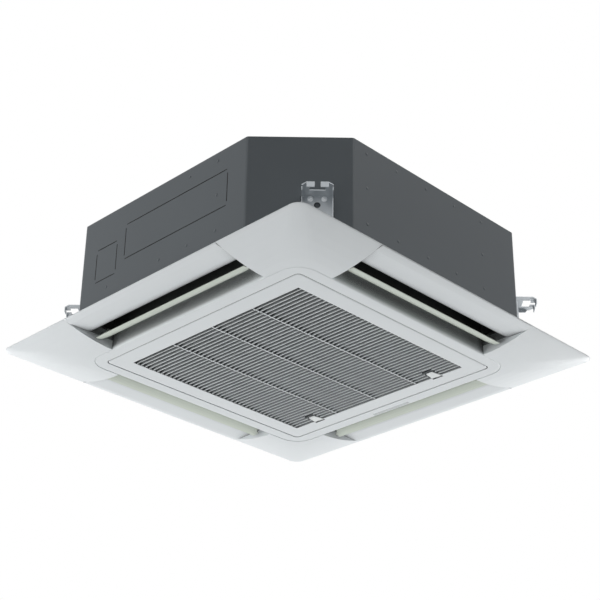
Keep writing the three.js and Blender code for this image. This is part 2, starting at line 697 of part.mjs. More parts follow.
/** An air vane: an arc that thins to its edges, two end plates and two pivot pins. */
function airVane() {
  const steps = 6;
  const convex = [];
  const hollow = [];
  for (let i = 0; i <= steps; i += 1) {
    const along = i / steps;
    const half = (VANE_EDGE + (VANE_THICK - VANE_EDGE) * Math.sin(Math.PI * along)) / 2;
    convex.push(vanePoint(along, half).toArray());
    hollow.unshift(vanePoint(along, -half).toArray());
  }
  const blade = alongSide([...convex, ...hollow], -VANE_HALF, VANE_HALF);
  const { d, z } = VANE_PIVOT;
  const eye = VANE_PIN_RADIUS + 3;
  const plateSection = [
    vanePoint(0.3, 0).toArray(), vanePoint(0.5, 0).toArray(), vanePoint(0.7, 0).toArray(),
    [d + eye, z], [d + eye / 2, z + eye], [d - eye / 2, z + eye], [d - eye, z],
  ];
  const plateEnd = VANE_HALF - VANE_END_CUT - 1;
  const plate = alongSide(plateSection, plateEnd - 2.5, plateEnd);
  const pivot = pin(d, z, VANE_PIN_RADIUS, plateEnd - 2, OUTLET_HALF + 3.2, 10);
  const cutBack = VANE_HALF - VANE_END_CUT;
  const corner = prism([
    new THREE.Vector2(VANE_INNER_EDGE.d - 6, cutBack), new THREE.Vector2(d - 3, cutBack),
    new THREE.Vector2(d + 2, cutBack + 2), new THREE.Vector2(d + 5, cutBack + 6),
    new THREE.Vector2(d + 6, VANE_HALF + 1), new THREE.Vector2(VANE_INNER_EDGE.d - 6, VANE_HALF + 1),
  ], -5, z - VANE_PIN_RADIUS - 1);
  const upperCorner = prism([
    new THREE.Vector2(VANE_INNER_EDGE.d - 6, cutBack), new THREE.Vector2(d - 6, cutBack),
    new THREE.Vector2(d - 6, VANE_HALF + 1), new THREE.Vector2(VANE_INNER_EDGE.d - 6, VANE_HALF + 1),
  ], z - VANE_PIN_RADIUS - 2, CEILING + 20);
  const ends = [corner, upperCorner].flatMap((solid) => [solid, otherEnd(solid)]);
  const trimmed = cut(blade, ends);
  return join([trimmed, plate, otherEnd(plate), pivot, otherEnd(pivot)]);
}

/** The mirror image of a solid of the +X side, at the other end of the slot. */
function otherEnd(solid) {
  return moved(solid, new THREE.Matrix4().makeScale(1, -1, 1));
}

/** A stepper motor behind the end wall of an outlet, its spindle in the wall's hole. */
function vaneMotor() {
  const back = OUTLET_HALF + END_WALL + GAP;
  const { d, z } = VANE_PIVOT;
  const can = pin(d, z, VANE_MOTOR_RADIUS, back, back + VANE_MOTOR_LENGTH, 14);
  const ears = block([d - 17, d + 17], [back, back + 1.2], [z - 3.5, z + 3.5]);
  const spindle = pin(d, z, VANE_PIN_RADIUS, OUTLET_HALF + 3.6, back + 1, 8);
  return join([can, ears, spindle]);
}

// ---------------------------------------------------------------- casing

/** The half of space on one side of the two seams of the side sheets. */
function seamHalf(side) {
  const bend = new THREE.Vector2(CHAMFER_LEG - CASING_HALF, -CASING_HALF);
  const seam = bend.add(new THREE.Vector2(-1, 1).setLength(SEAM_OFFSET));
  const along = seam.clone().normalize();
  const out = new THREE.Vector2(-along.y, along.x).multiplyScalar(side);
  const reach = 2 * CASING_HALF;
  const near = out.clone().multiplyScalar(GAP / 2);
  const far = out.clone().multiplyScalar(reach);
  const ends = [along.clone().multiplyScalar(reach), along.clone().multiplyScalar(-reach)];
  return prism([
    ends[0].clone().add(near), ends[0].clone().add(far),
    ends[1].clone().add(far), ends[1].clone().add(near),
  ], CASING_LOW - 1, CASING_HIGH + 1);
}

/** The side wall all round, with the lip that carries the drain pan. */
function sideWall() {
  const shell = prism(casingOutline(0), CASING_LOW, CASING_HIGH);
  const inside = prism(casingOutline(SHEET), CASING_LOW + SHEET, CASING_HIGH + 1);
  const open = prism(casingOutline(CASING_LIP), CASING_LOW - 1, CASING_LOW + 2 * SHEET);
  return cut(shell, [inside, open]);
}

/** The scored lines of a knock-out on the -Y wall, broken by a bridge at each corner. */
function knockout({ x0, x1, z0, z1 }) {
  const wall = [-CASING_HALF - 1, SHEET - CASING_HALF + 1];
  const across = [x0 + SCORE_BRIDGE, x1 - SCORE_BRIDGE];
  const upright = [z0 + SCORE_BRIDGE, z1 - SCORE_BRIDGE];
  return [
    block(across, wall, [z0, z0 + SCORE]), block(across, wall, [z1 - SCORE, z1]),
    block([x0, x0 + SCORE], wall, upright), block([x1 - SCORE, x1], wall, upright),
  ];
}

function frontSideSheet() {
  return cut(sideWall().intersect(seamHalf(1)), KNOCKOUTS.flatMap(knockout));
}

/** A point of the pipe chamfer, between -X and +Y: outwards from it and along it. */
function pipePlace(outward, along) {
  const centre = chamferDistance + outward;
  return [(-centre + along) / Math.SQRT2, (centre + along) / Math.SQRT2];
}

/** A straight bar through the pipe chamfer, round or of any outline in plan. */
function pipeBore(along, height, radius) {
  const from = [...pipePlace(-70, along), height];
  const to = [...pipePlace(30, along), height];
  return rod([from, to], radius, 1, 12);
}

function rearSideSheet() {
  const gas = pipeBore(PIPE_OFFSET.gas, PIPE_HEIGHT.gas, GAS_PIPE_RADIUS + 6);
  const liquid = pipeBore(PIPE_OFFSET.liquid, PIPE_HEIGHT.liquid, LIQUID_PIPE_RADIUS + 6);
  return cut(sideWall().intersect(seamHalf(-1)), [gas, liquid, drainBore(DRAIN.radius + 2 * GAP)]);
}

/** A round bore through the -X wall for the drain outlet. */
function drainBore(radius) {
  return crossPin(DRAIN.y, DRAIN.z, radius, -CASING_HALF - 10, LINER_WALL + 10 - CASING_HALF, 20);
}

/** The top plate with a pressed ring over the motor and four pressed beads. */
function topPlate() {
  const plate = prism(casingOutline(insideCasing), topPlateLow, topPlateLow + SHEET);
  const beadHigh = topPlateLow + SHEET + TOP_BEAD;
  const beadLow = topPlateLow + SHEET / 2;
  const inner = MOTOR_PLATE_HALF * Math.SQRT2;
  const ring = turned([[inner, beadLow], [inner + 14, beadLow], [inner + 11, beadHigh], [inner + 3, beadHigh]], 24);
  const bead = alongBead(inner + 20, CASING_HALF - 40, beadLow, beadHigh);
  return join([plate, ring, ...onEverySide(bead)]);
}

/** A straight pressed bead along +X with sloped flanks. */
function alongBead(start, end, low, high) {
  const half = 9;
  const shape = new THREE.Shape([
    new THREE.Vector2(-half, low), new THREE.Vector2(half, low),
    new THREE.Vector2(half - 3, high), new THREE.Vector2(3 - half, high),
  ]);
  const geometry = new THREE.ExtrudeGeometry(shape, { depth: end - start, bevelEnabled: false, steps: 1 });
  geometry.rotateX(Math.PI / 2);
  geometry.rotateZ(Math.PI / 2);
  geometry.translate(start, 0, 0);
  return solidOf(geometry);
}

/** A hanger bracket: x outwards from the chamfer, y along it from the rod, z up. */
function hangerBracket() {
  const half = BRACKET_WIDTH / 2;
  const top = BRACKET_FLANGE_TOP;
  const flangeLow = top - BRACKET_SHEET;
  const wide = [-half, half];
  const back = block([GAP, GAP + BRACKET_SHEET], wide, [BRACKET_FOOT, top]);
  const tip = [
    [GAP, -half], [BRACKET_REACH - BRACKET_CORNER, -half],
    [BRACKET_REACH, BRACKET_CORNER - half], [BRACKET_REACH, half - BRACKET_CORNER],
    [BRACKET_REACH - BRACKET_CORNER, half], [GAP, half],
  ];
  const flange = prism(tip.map(([x, y]) => new THREE.Vector2(x, y)), flangeLow, top);
  const straight = [BRACKET_CORNER - half, half - BRACKET_CORNER];
  const lip = block([BRACKET_REACH - BRACKET_SHEET, BRACKET_REACH], straight, [top - BRACKET_LIP, top]);
  const cheekLow = top - CHEEK_DROP;
  const cheekSection = [
    [GAP, BRACKET_FOOT], [CHEEK_DEPTH, BRACKET_FOOT], [CHEEK_DEPTH, cheekLow],
    [CHEEK_REACH - CHEEK_SLANT, cheekLow], [CHEEK_REACH, top], [GAP, top],
  ];
  const cheek = alongSide(cheekSection, half - BRACKET_SHEET, half);
  const sheet = join([back, flange, lip, cheek, otherEnd(cheek)]);
  return cut(sheet, [...rodSlot(flangeLow), bracketHole()]);
}

/** The window and the open slot that a threaded rod slides into. */
function rodSlot(flangeLow) {
  const rodAt = (ROD.x + ROD.y) / Math.SQRT2 - chamferDistance;
  const { inwards, outwards, half } = ROD_WINDOW;
  const tall = [flangeLow - BRACKET_LIP, BRACKET_FLANGE_TOP + 1];
  const slot = block([rodAt, BRACKET_REACH + 1], [-ROD_SLOT / 2, ROD_SLOT / 2], tall);
  const window = block([rodAt - inwards, rodAt + outwards], [-half, half], tall);
  return [slot, window];
}

/** The round hole in the back of a bracket. */
function bracketHole() {
  const { radius, drop } = BRACKET_HOLE;
  const hole = new THREE.CylinderGeometry(radius, radius, 3 * BRACKET_SHEET, 10);
  hole.rotateZ(Math.PI / 2);
  hole.translate(BRACKET_SHEET, 0, BRACKET_FLANGE_TOP - drop);
  return solidOf(hole);
}

/** The plate over the pipe opening: x outwards from the chamfer, y along it. */
function pipeCoverPlate() {
  const half = COVER_PLATE.width / 2;
  const plate = block([GAP, GAP + SHEET], [-half, half], [COVER_PLATE.low, COVER_PLATE.high]);
  const middle = (PIPE_OFFSET.gas + PIPE_OFFSET.liquid) / 2;
  const bores = [
    { along: PIPE_OFFSET.gas, z: PIPE_HEIGHT.gas, radius: GAS_PIPE_RADIUS },
    { along: PIPE_OFFSET.liquid, z: PIPE_HEIGHT.liquid, radius: LIQUID_PIPE_RADIUS },
  ].map(({ along, z, radius }) => {
    const bore = new THREE.CylinderGeometry(radius + 2 * GAP, radius + 2 * GAP, 10, 16);
    bore.rotateZ(Math.PI / 2);
    bore.translate(0, middle - along, z);
    return solidOf(bore);
  });
  return cut(plate, bores);
}

// ---------------------------------------------------------------- foam parts

/** The drain pan: a lip round the intake, the coil's trough, four ducts and a raised rim. */
function drainPan() {
  const slab = prism(casingOutline(insideCasing), panLow, PAN_BLOCK_TOP);
  const rimInner = LINER_WALL + insideCasing;
  const rim = cut(prism(casingOutline(insideCasing), PAN_BLOCK_TOP - 1, PAN_RIM_TOP), [
    prism(casingOutline(rimInner), PAN_BLOCK_TOP - 2, PAN_RIM_TOP + 1),
  ]);
  const intake = prism(square(PAN_OPENING, 30), panLow - 1, PAN_BLOCK_TOP + 1);
  const lowered = prism(square(panLipHalf, panLipRadius), PAN_LIP_TOP, PAN_BLOCK_TOP + 1);
  const trough = cut(
    prism(square(PAN_TROUGH_OUTER, COIL_RADIUS), PAN_TROUGH_LOW, PAN_BLOCK_TOP + 1),
    [prism(square(panLipHalf, panLipRadius), PAN_TROUGH_LOW - 1, PAN_BLOCK_TOP + 2)],
  );
  const duct = block(
    [outletInner, outletOuter], [3 - OUTLET_HALF, OUTLET_HALF - 3], [panLow - 1, PAN_RIM_TOP + 1],
  );
  return cut(slab.add(rim), [intake, lowered, trough, ...onEverySide(duct)]);
}

/** The foam liner of the casing: its walls and its ceiling, with holes for what passes. */
function insulationLiner() {
  const low = PAN_RIM_TOP + GAP;
  const shell = prism(casingOutline(insideCasing), low, linerHigh);
  const inside = prism(casingOutline(insideCasing + LINER_WALL), low - 1, linerCeiling);
  const mounts = mountPlaces().map(([x, y]) => {
    return cylinder(x, y, MOUNT_RADIUS + 4 * GAP, linerCeiling - 1, linerHigh + 1, 10);
  });
  const pipes = [
    pipeBore(PIPE_OFFSET.gas, PIPE_HEIGHT.gas, GAS_PIPE_RADIUS + 3),
    pipeBore(PIPE_OFFSET.liquid, PIPE_HEIGHT.liquid, LIQUID_PIPE_RADIUS + 3),
  ];
  return cut(shell, [inside, ...mounts, ...pipes, drainBore(DRAIN.radius + 2 * GAP)]);
}

// ---------------------------------------------------------------- air path

/** Points of a quarter ellipse about a centre, from angle a0 to a1 in degrees. */
function quarter(centreR, centreZ, reachR, reachZ, a0, a1, steps = 4) {
  const points = [];
  for (let i = 0; i <= steps; i += 1) {
    const angle = THREE.MathUtils.degToRad(a0 + ((a1 - a0) * i) / steps);
    points.push([centreR - reachR * Math.cos(angle), centreZ + reachZ * Math.sin(angle)]);
  }
  return points;
}

/** The bell mouth: a square flange on the pan's lip and a flare to the fan's eye. */
function bellMouth() {
  const outer = BELL_THROAT + BELL_FLARE;
  const high = bellLow + BELL_HEIGHT;
  const plate = prism(square(panLipHalf - GAP, panLipRadius), bellLow, bellLow + BELL_SHEET);
  const hole = cylinder(0, 0, outer - 1, bellLow - 1, bellLow + BELL_SHEET + 1, TURN_STEPS);
  const airSide = quarter(outer, high, BELL_FLARE, BELL_HEIGHT, -90, 0);
  const farSide = quarter(outer, high, BELL_FLARE - BELL_SHEET, BELL_HEIGHT - BELL_SHEET, 0, -90);
  const flare = turned([...airSide, ...farSide]);
  return cut(plate, [hole]).add(flare);
}

/** One blade of the fan: swept back from its inner to its outer edge. */
function fanBlade(turn) {
  const steps = 5;
  const front = [];
  const back = [];
  for (let i = 0; i <= steps; i += 1) {
    const along = i / steps;
    const radius = BLADE_INNER + (FAN_RADIUS - 3 - BLADE_INNER) * along;
    const angle = turn - THREE.MathUtils.degToRad(BLADE_SWEEP) * along ** 0.8;
    const half = (BLADE_THICK * (0.6 + 0.8 * Math.sin(Math.PI * Math.min(along + 0.12, 1)))) / 2 / radius;
    front.push(new THREE.Vector2(radius * Math.cos(angle + half), radius * Math.sin(angle + half)));
    back.unshift(new THREE.Vector2(radius * Math.cos(angle - half), radius * Math.sin(angle - half)));
  }
  return prism([...front, ...back], FAN_SHROUD_LOW, FAN_HUB_TOP - FAN_WALL / 2);
}

/** The turbo fan: hub plate with a dome under the motor, blades, and the shroud's eye. */
function turboFan() {
  const plateLow = FAN_HUB_TOP - FAN_WALL;
  const bore = SHAFT_RADIUS + GAP;
  const hub = turned([
    [bore, DOME_LOW - 14], [HUB_RADIUS, DOME_LOW - 14], [HUB_RADIUS, DOME_LOW],
    [DOME_LOW_RADIUS, DOME_LOW], [DOME_TOP_RADIUS, plateLow], [FAN_RADIUS, plateLow],
    [FAN_RADIUS, FAN_HUB_TOP], [DOME_TOP_RADIUS - 1.5, FAN_HUB_TOP],
    [DOME_LOW_RADIUS - 1.5, DOME_LOW + FAN_WALL], [bore, DOME_LOW + FAN_WALL],
  ]);
  const eye = BELL_THROAT + BELL_SHEET + FAN_EYE_GAP;
  const reach = FAN_RADIUS - eye;
  const shroud = turned([
    ...quarter(FAN_RADIUS, FAN_SHROUD_LOW, reach, FAN_SHROUD_RISE, 0, 90),
    ...quarter(FAN_RADIUS, FAN_SHROUD_LOW, reach - FAN_WALL, FAN_SHROUD_RISE - FAN_WALL, 90, 0),
  ]);
  const middle = FAN_WALL / 2;
  const below = turned([
    [0, FAN_SHROUD_LOW - 5], [FAN_RADIUS + 5, FAN_SHROUD_LOW - 5],
    [FAN_RADIUS + 5, FAN_SHROUD_LOW + FAN_SHROUD_RISE - middle],
    ...quarter(FAN_RADIUS, FAN_SHROUD_LOW, reach - middle, FAN_SHROUD_RISE - middle, 90, 20),
    [BLADE_INNER - 5, FAN_SHROUD_LOW + 38], [0, FAN_SHROUD_LOW + 38],
  ]);
  const blades = [];
  for (let i = 0; i < FAN_BLADES; i += 1) {
    blades.push(fanBlade((2 * Math.PI * i) / FAN_BLADES));
  }
  return join([hub, shroud, cut(join(blades), [below])]);
}

const shaftHigh = MOTOR_LOW + 12;

function fanShaft() {
  return cylinder(0, 0, SHAFT_RADIUS, SHAFT_LOW, shaftHigh - GAP, 16);
}

function fanNut() {
  const high = DOME_LOW - 14 - GAP;
  const nut = cylinder(0, 0, NUT_RADIUS, high - NUT_HEIGHT, high, 6);
  return cut(nut, [cylinder(0, 0, SHAFT_RADIUS + GAP, high - NUT_HEIGHT - 1, high + 1, 16)]);
}

/** The fan motor: a can with a stepped lower end and the shaft's bore. */
function fanMotor() {
  const can = turned([
    [0, MOTOR_LOW], [24, MOTOR_LOW], [26, MOTOR_LOW + 6], [MOTOR_RADIUS - 8, MOTOR_LOW + 6],
    [MOTOR_RADIUS, MOTOR_LOW + 14], [MOTOR_RADIUS, motorHigh], [0, motorHigh],
  ], 24);
  return cut(can, [cylinder(0, 0, SHAFT_RADIUS + 0.5, MOTOR_LOW - 1, shaftHigh, 16)]);
}

/** The four places of the rubber motor mounts. */
function mountPlaces() {
  return [[1, 1], [-1, 1], [-1, -1], [1, -1]].map(([x, y]) => [x * MOUNT_OFFSET, y * MOUNT_OFFSET]);
}

function motorPlate() {
  return prism(square(MOTOR_PLATE_HALF, 14), motorPlateLow, motorPlateLow + MOTOR_PLATE);
}

/** A rubber motor mount about its own axis, waisted in the middle. */
function motorMount() {
  const waist = mountLow + MOUNT_HEIGHT / 3;
  return turned([
    [0, mountLow], [MOUNT_RADIUS, mountLow], [MOUNT_RADIUS - 3, waist],
    [MOUNT_RADIUS, waist + 3], [MOUNT_RADIUS, linerHigh], [0, linerHigh],
  ], 10);
}

// ---------------------------------------------------------------- refrigerant and water

/** The finned coil round the fan, open at the pipe corner. */
function heatExchanger() {
  const ring = cut(prism(square(coilOuter, COIL_RADIUS), coilLow, coilHigh), [
    prism(square(COIL_INNER, COIL_RADIUS - COIL_DEPTH), coilLow - 1, coilHigh + 1),
  ]);
  const reach = coilOuter + 1;
  return cut(ring, [block([-reach, -COIL_END], [COIL_END, reach], [coilLow - 1, coilHigh + 1])]);
}

/** An end plate of the coil with its return bends, at the end of the +Y stretch. */
function coilEndPlate() {
  const face = -COIL_END - GAP;
  const plate = block(
    [face - COIL_PLATE, face], [COIL_INNER - 2, coilOuter + 2], [coilLow, coilHigh],
  );
  const middle = (COIL_INNER + coilOuter) / 2;
  const pitch = (coilHigh - coilLow) / BEND_COUNT;
  const start = face - COIL_PLATE / 2;
  const bends = [];
  for (let i = 0; i < BEND_COUNT; i += 1) {
    const z = coilLow + (i + 0.5) * pitch;
    const side = i % 2 ? 5 : -5;
    const route = [-9, -7, 0, 7, 9].map((rise) => {
      const out = 14 * Math.sqrt(1 - (rise / 9) ** 2);
      return [start - out, middle + side, z + rise];
    });
    bends.push(rod(route, BEND_TUBE, 4, 5));
  }
  return join([plate, ...bends]);
}

/** A pipe from the coil's end to beyond the chamfer. */
function refrigerantPipe(along, height, radius) {
  const startX = -COIL_END - 2 * GAP - COIL_PLATE;
  const middle = (COIL_INNER + coilOuter) / 2;
  return rod([
    [startX, middle, height], [startX - 24, middle, height],
    [...pipePlace(-52, along), height], [...pipePlace(0, along), height],
    [...pipePlace(PIPE_REACH, along), height],
  ], radius, 9, 10);
}

function drainPump() {
  const { x, y, radius, low, high, foot, footX } = PUMP;
  const body = cylinder(x, y, radius, low, high - 14, 24);
  const cap = cylinder(x, y, radius - 6, high - 15, high, 20);
  const suction = cylinder(footX, y, foot, coilLow, low + 1, 14);
  return join([body, cap, suction]);
}

function floatSwitch() {
  const { x, y, radius, height } = FLOAT;
  const stem = cylinder(x, y, 3, coilLow, coilLow + height + 10, 10);
  return stem.add(cylinder(x, y, radius, coilLow + 8, coilLow + height - 8, 16));
}

function drainHose() {
  const { x, y, high } = PUMP;
  const wall = insideCasing + LINER_WALL - CASING_HALF;
  return rod([
    [x, y, high + GAP], [x, y, high + 22], [x - 16, y - 26, DRAIN.z - 2],
    [x - 60, DRAIN.y + 8, DRAIN.z], [wall + 10, DRAIN.y, DRAIN.z], [wall - 1, DRAIN.y, DRAIN.z],
  ], 8, 16, 8);
}

function drainOutlet() {
  const outer = -CASING_HALF - DRAIN.reach;
  const inner = insideCasing + LINER_WALL - CASING_HALF;
  const tube = crossPin(DRAIN.y, DRAIN.z, DRAIN.radius, outer, inner + 4, 20);
  const bore = crossPin(DRAIN.y, DRAIN.z, DRAIN.radius - DRAIN.wall, outer - 1, inner + 5, 20);
  return cut(tube, [bore]);
}

// ---------------------------------------------------------------- control box

const boxHigh = bellLow - GAP;
const boxLow = boxHigh - BOX_HEIGHT;
const boxY = [PAN_OPENING - 1 - BOX_DEPTH, PAN_OPENING - 1];

function controlBox() {
  const shell = block([-BOX_HALF, BOX_HALF], boxY, [boxLow, boxHigh]);
  const inside = block(
    [BOX_SHEET - BOX_HALF, BOX_HALF - BOX_SHEET], [boxY[0] + BOX_SHEET, boxY[1] - BOX_SHEET],
    [boxLow - 1, boxHigh - BOX_SHEET],
  );
  return cut(shell, [inside]);
}

function controlBoxCover() {
  const high = boxLow - GAP;
  return prism(rectangle([-BOX_HALF, BOX_HALF], boxY, 4), high - BOX_SHEET, high);
}

/** The control board with its standoffs, a capacitor and a transformer. */
function controlBoard() {
  const inset = BOX_SHEET + 3;
  const boardLow = boxHigh - 12;
  const x = [inset - BOX_HALF, BOX_HALF - inset];
  const y = [boxY[0] + inset, boxY[1] - inset];
  const board = block(x, y, [boardLow, boardLow + 1.6]);
  const middle = (y[0] + y[1]) / 2;
  const capacitor = cylinder(x[0] + 40, middle, 14, boardLow - 17, boardLow + 0.5, 18);
  const transformer = block([x[1] - 70, x[1] - 30], [middle - 18, middle + 18], [boardLow - 19, boardLow + 0.5]);
  const standoffs = [x[0] + 6, x[1] - 6].flatMap((px) => [y[0] + 6, y[1] - 6].map((py) => {
    return cylinder(px, py, 3, boardLow + 1, boxHigh - BOX_SHEET - GAP, 8);
  }));
  return join([board, capacitor, transformer, ...standoffs]);
}

// ---------------------------------------------------------------- the unit

/** A plain material of a colour, written as sRGB, with its roughness and metalness. */
function finish(color, roughness, metalness = 0) {
  return new THREE.MeshStandardMaterial({ color, roughness, metalness });
}

const finishes = {
  panel: () => finish(0xdde1e2, 0.5),
  vane: () => finish(0xd9dfd6, 0.45),
  latch: () => finish(0xeef0f0, 0.4),
  window: () => finish(0x3a3f42, 0.25),
  casing: () => finish(0x5c6266, 0.55, 0.35),
  galvanised: () => finish(0xa9b0b5, 0.4, 0.85),
  foam: () => finish(0xe9e8e2, 0.9),
  gasket: () => finish(0x2b2d2f, 0.95),
  filter: () => finish(0x34383a, 0.8),
  inner: () => finish(0x9aa0a3, 0.55),
  fan: () => finish(0x8d9396, 0.5),
  steel: () => finish(0xb9bcbe, 0.3, 0.9),
  rubber: () => finish(0x1f2021, 0.9),
  fins: () => finish(0xc3c8ca, 0.45, 0.8),
  copper: () => finish(0xb87048, 0.35, 0.9),
  pump: () => finish(0xe4e5e3, 0.5),
  board: () => finish(0x2f6b45, 0.6),
};

/** A named piece in its finish. */
function piece(name, solid, finishName) {
  const mesh = new THREE.Mesh(geometryOf(solid), finishes[finishName]());
  mesh.name = name;
  return mesh;
}

/** The four copies of a piece made for the +X side, named by their side. */
function piecesOnSides(name, solid, finishName) {
  return ['right', 'rear', 'left', 'front'].map((side, turn) => {
    const mesh = piece(`${name}_${side}`, solid, finishName);
    mesh.rotation.z = (turn * Math.PI) / 2;
    return mesh;
  });
}

/** The four copies of a piece made for the corner between +X and +Y. */
function piecesInCorners(name, solid, finishName) {
  return ['rear_right', 'rear_left', 'front_left', 'front_right'].map((corner, turn) => {
    const mesh = piece(`${name}_${corner}`, solid, finishName);
    mesh.rotation.z = (turn * Math.PI) / 2;
    return mesh;
  });
}

/** Puts a piece whose x points outwards on the chamfer nearest a point of the plan. */
function onChamfer(mesh, x, y) {
  const angle = Math.atan2(Math.sign(y), Math.sign(x));
  const out = new THREE.Vector3(Math.cos(angle), Math.sin(angle), 0);
  const sideways = new THREE.Vector3(-out.y, out.x, 0);
  const along = sideways.dot(new THREE.Vector3(x, y, 0));
  mesh.position.copy(out.multiplyScalar(chamferDistance).addScaledVector(sideways, along));
  mesh.rotation.z = angle;
  return mesh;
}

function decorationPanel() {
  const group = new THREE.Group();
  group.add(
    piece('panel_frame', panelFrame(), 'panel'),
    piece('panel_gasket', panelGasket(), 'gasket'),
    piece('receiver_window', receiverWindow(), 'window'),
    ...piecesInCorners('corner_cover', cornerCover(), 'panel'),
    ...piecesOnSides('air_vane', airVane(), 'vane'),
    ...piecesOnSides('vane_motor', vaneMotor(), 'inner'),
  );
  return group;
}

function grilleGroup() {
  const group = new THREE.Group();
  group.add(piece('intake_grille', intakeGrille(), 'panel'), piece('air_filter', airFilter(), 'filter'));
  [['grille_latch_left', -1], ['grille_latch_right', 1]].forEach(([name, hand]) => {
    const latch = piece(name, grilleLatch(), 'latch');
    latch.position.x = hand * LATCH_OFFSET;
    group.add(latch);
  });
  return group;
}

function casing() {
  const group = new THREE.Group();
  group.add(
    piece('front_side_sheet', frontSideSheet(), 'casing'),
    piece('rear_side_sheet', rearSideSheet(), 'casing'),
    piece('top_plate', topPlate(), 'casing'),
    piece('insulation_liner', insulationLiner(), 'foam'),
    piece('drain_pan', drainPan(), 'foam'),
  );
  [['rear_right', 1, 1], ['rear_left', -1, 1], ['front_left', -1, -1], ['front_right', 1, -1]]
    .forEach(([corner, x, y]) => {
      const bracket = piece(`hanger_bracket_${corner}`, hangerBracket(), 'galvanised');
      group.add(onChamfer(bracket, x * ROD.x, y * ROD.y));
    });
  const between = (PIPE_OFFSET.gas + PIPE_OFFSET.liquid) / 2;
  const plate = piece('pipe_cover_plate', pipeCoverPlate(), 'galvanised');
  group.add(onChamfer(plate, ...pipePlace(0, between)));
  return group;
}

function fanGroup() {
  const group = new THREE.Group();
  group.add(
    piece('turbo_fan', turboFan(), 'fan'),
    piece('fan_shaft', fanShaft(), 'steel'),
    piece('fan_nut', fanNut(), 'steel'),
    piece('fan_motor', fanMotor(), 'inner'),
    piece('motor_plate', motorPlate(), 'galvanised'),
    piece('bell_mouth', bellMouth(), 'inner'),
  );
  mountPlaces().forEach(([x, y], i) => {
    const mount = piece(`motor_mount_${i + 1}`, motorMount(), 'rubber');
    mount.position.set(x, y, 0);
    group.add(mount);
  });
  return group;
}

function coolingGroup() {
  const group = new THREE.Group();
  const swapSides = new THREE.Matrix4().set(0, -1, 0, 0, -1, 0, 0, 0, 0, 0, 1, 0, 0, 0, 0, 1);
  const endPlate = coilEndPlate();
  group.add(
    piece('heat_exchanger', heatExchanger(), 'fins'),
    piece('coil_end_plate_rear', endPlate, 'galvanised'),
    piece('coil_end_plate_left', moved(endPlate, swapSides), 'galvanised'),
    piece('gas_pipe', refrigerantPipe(PIPE_OFFSET.gas, PIPE_HEIGHT.gas, GAS_PIPE_RADIUS), 'copper'),
    piece('liquid_pipe', refrigerantPipe(PIPE_OFFSET.liquid, PIPE_HEIGHT.liquid, LIQUID_PIPE_RADIUS), 'copper'),
    piece('drain_pump', drainPump(), 'pump'),
    piece('float_switch', floatSwitch(), 'pump'),
    piece('drain_hose', drainHose(), 'rubber'),
    piece('drain_outlet', drainOutlet(), 'pump'),
  );
  return group;
}

function controlGroup() {
  const group = new THREE.Group();
  group.add(
    piece('control_box', controlBox(), 'galvanised'),
    piece('control_box_cover', controlBoxCover(), 'galvanised'),
    piece('control_board', controlBoard(), 'board'),
  );
  return group;
}

const unit = new THREE.Group();
unit.add(decorationPanel(), grilleGroup(), casing(), fanGroup(), coolingGroup(), controlGroup());

export default unit;
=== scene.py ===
"""Looks of a four-way ceiling cassette air conditioner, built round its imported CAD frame.

Lengths are in metres in the frame's own axes: x to the right, y to the rear, z up, with the
underside of the panel's flat middle at z = 0 and the ceiling plane 25 mm above it. The pieces
made here are the small ones that the CAD leaves out: screws, pressed dimples, lamps, grip
ridges, the net of the filter and flare nuts. Every CAD node gets a procedural finish.
"""

import logging
import math
from collections.abc import Sequence
from dataclasses import dataclass
from enum import Enum

import bpy
import numpy as np
from mathutils import Matrix, Vector

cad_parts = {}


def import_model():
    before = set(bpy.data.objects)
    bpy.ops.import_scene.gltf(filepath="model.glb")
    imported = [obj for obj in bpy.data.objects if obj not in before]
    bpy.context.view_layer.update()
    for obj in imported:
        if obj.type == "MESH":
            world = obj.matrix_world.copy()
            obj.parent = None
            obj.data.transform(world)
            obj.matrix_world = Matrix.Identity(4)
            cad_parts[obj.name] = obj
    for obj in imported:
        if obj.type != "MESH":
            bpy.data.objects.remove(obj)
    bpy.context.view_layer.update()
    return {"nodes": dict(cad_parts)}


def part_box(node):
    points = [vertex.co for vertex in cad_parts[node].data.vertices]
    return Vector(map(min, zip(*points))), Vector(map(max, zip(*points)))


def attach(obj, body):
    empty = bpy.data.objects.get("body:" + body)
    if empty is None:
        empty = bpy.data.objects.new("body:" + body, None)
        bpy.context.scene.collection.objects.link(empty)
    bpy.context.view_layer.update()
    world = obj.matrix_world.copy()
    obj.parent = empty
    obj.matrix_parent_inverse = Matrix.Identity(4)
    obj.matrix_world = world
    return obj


LOG = logging.getLogger("cassette")
MM = 0.001
DIAGONAL = 1 / math.sqrt(2)
CEILING = 0.025
CASING_HALF = 0.420
CHAMFER_LEG = 0.154
CHAMFER_REACH = (2 * CASING_HALF - CHAMFER_LEG) * DIAGONAL
# Each knock-out of the wall at y = -CASING_HALF: least and most x, least and most z.
KNOCKOUTS = ((-0.118, 0.210, 0.148, 0.235), (-0.217, -0.146, 0.124, 0.206))
SCORE_BRIDGE = 0.009
PLATEAU_EDGE = 0.338
RIM_FROM = 0.462
LIT_POINT = (0, 0, 0.12)
DUST_COLOUR = (176, 172, 163)


def linear(colour: Sequence[int]) -> tuple[float, float, float, float]:
    """An sRGB colour in bytes as a linear RGBA colour.

    Args:
        colour: red, green and blue from 0 to 255.

    Returns:
        The linear colour with alpha 1: ((c + 0.055) / 1.055) ** 2.4 above the toe.
    """
    share = [c / 255 for c in colour]
    toe = [c / 12.92 if c <= 0.04045 else ((c + 0.055) / 1.055) ** 2.4 for c in share]
    return (*toe, 1.0)


class Pattern(Enum):
    """The relief that a finish has."""

    MOULDED = "moulded"
    SPANGLE = "spangle"
    BRUSHED = "brushed"
    FOAM = "foam"
    FINS = "fins"
    NET = "net"


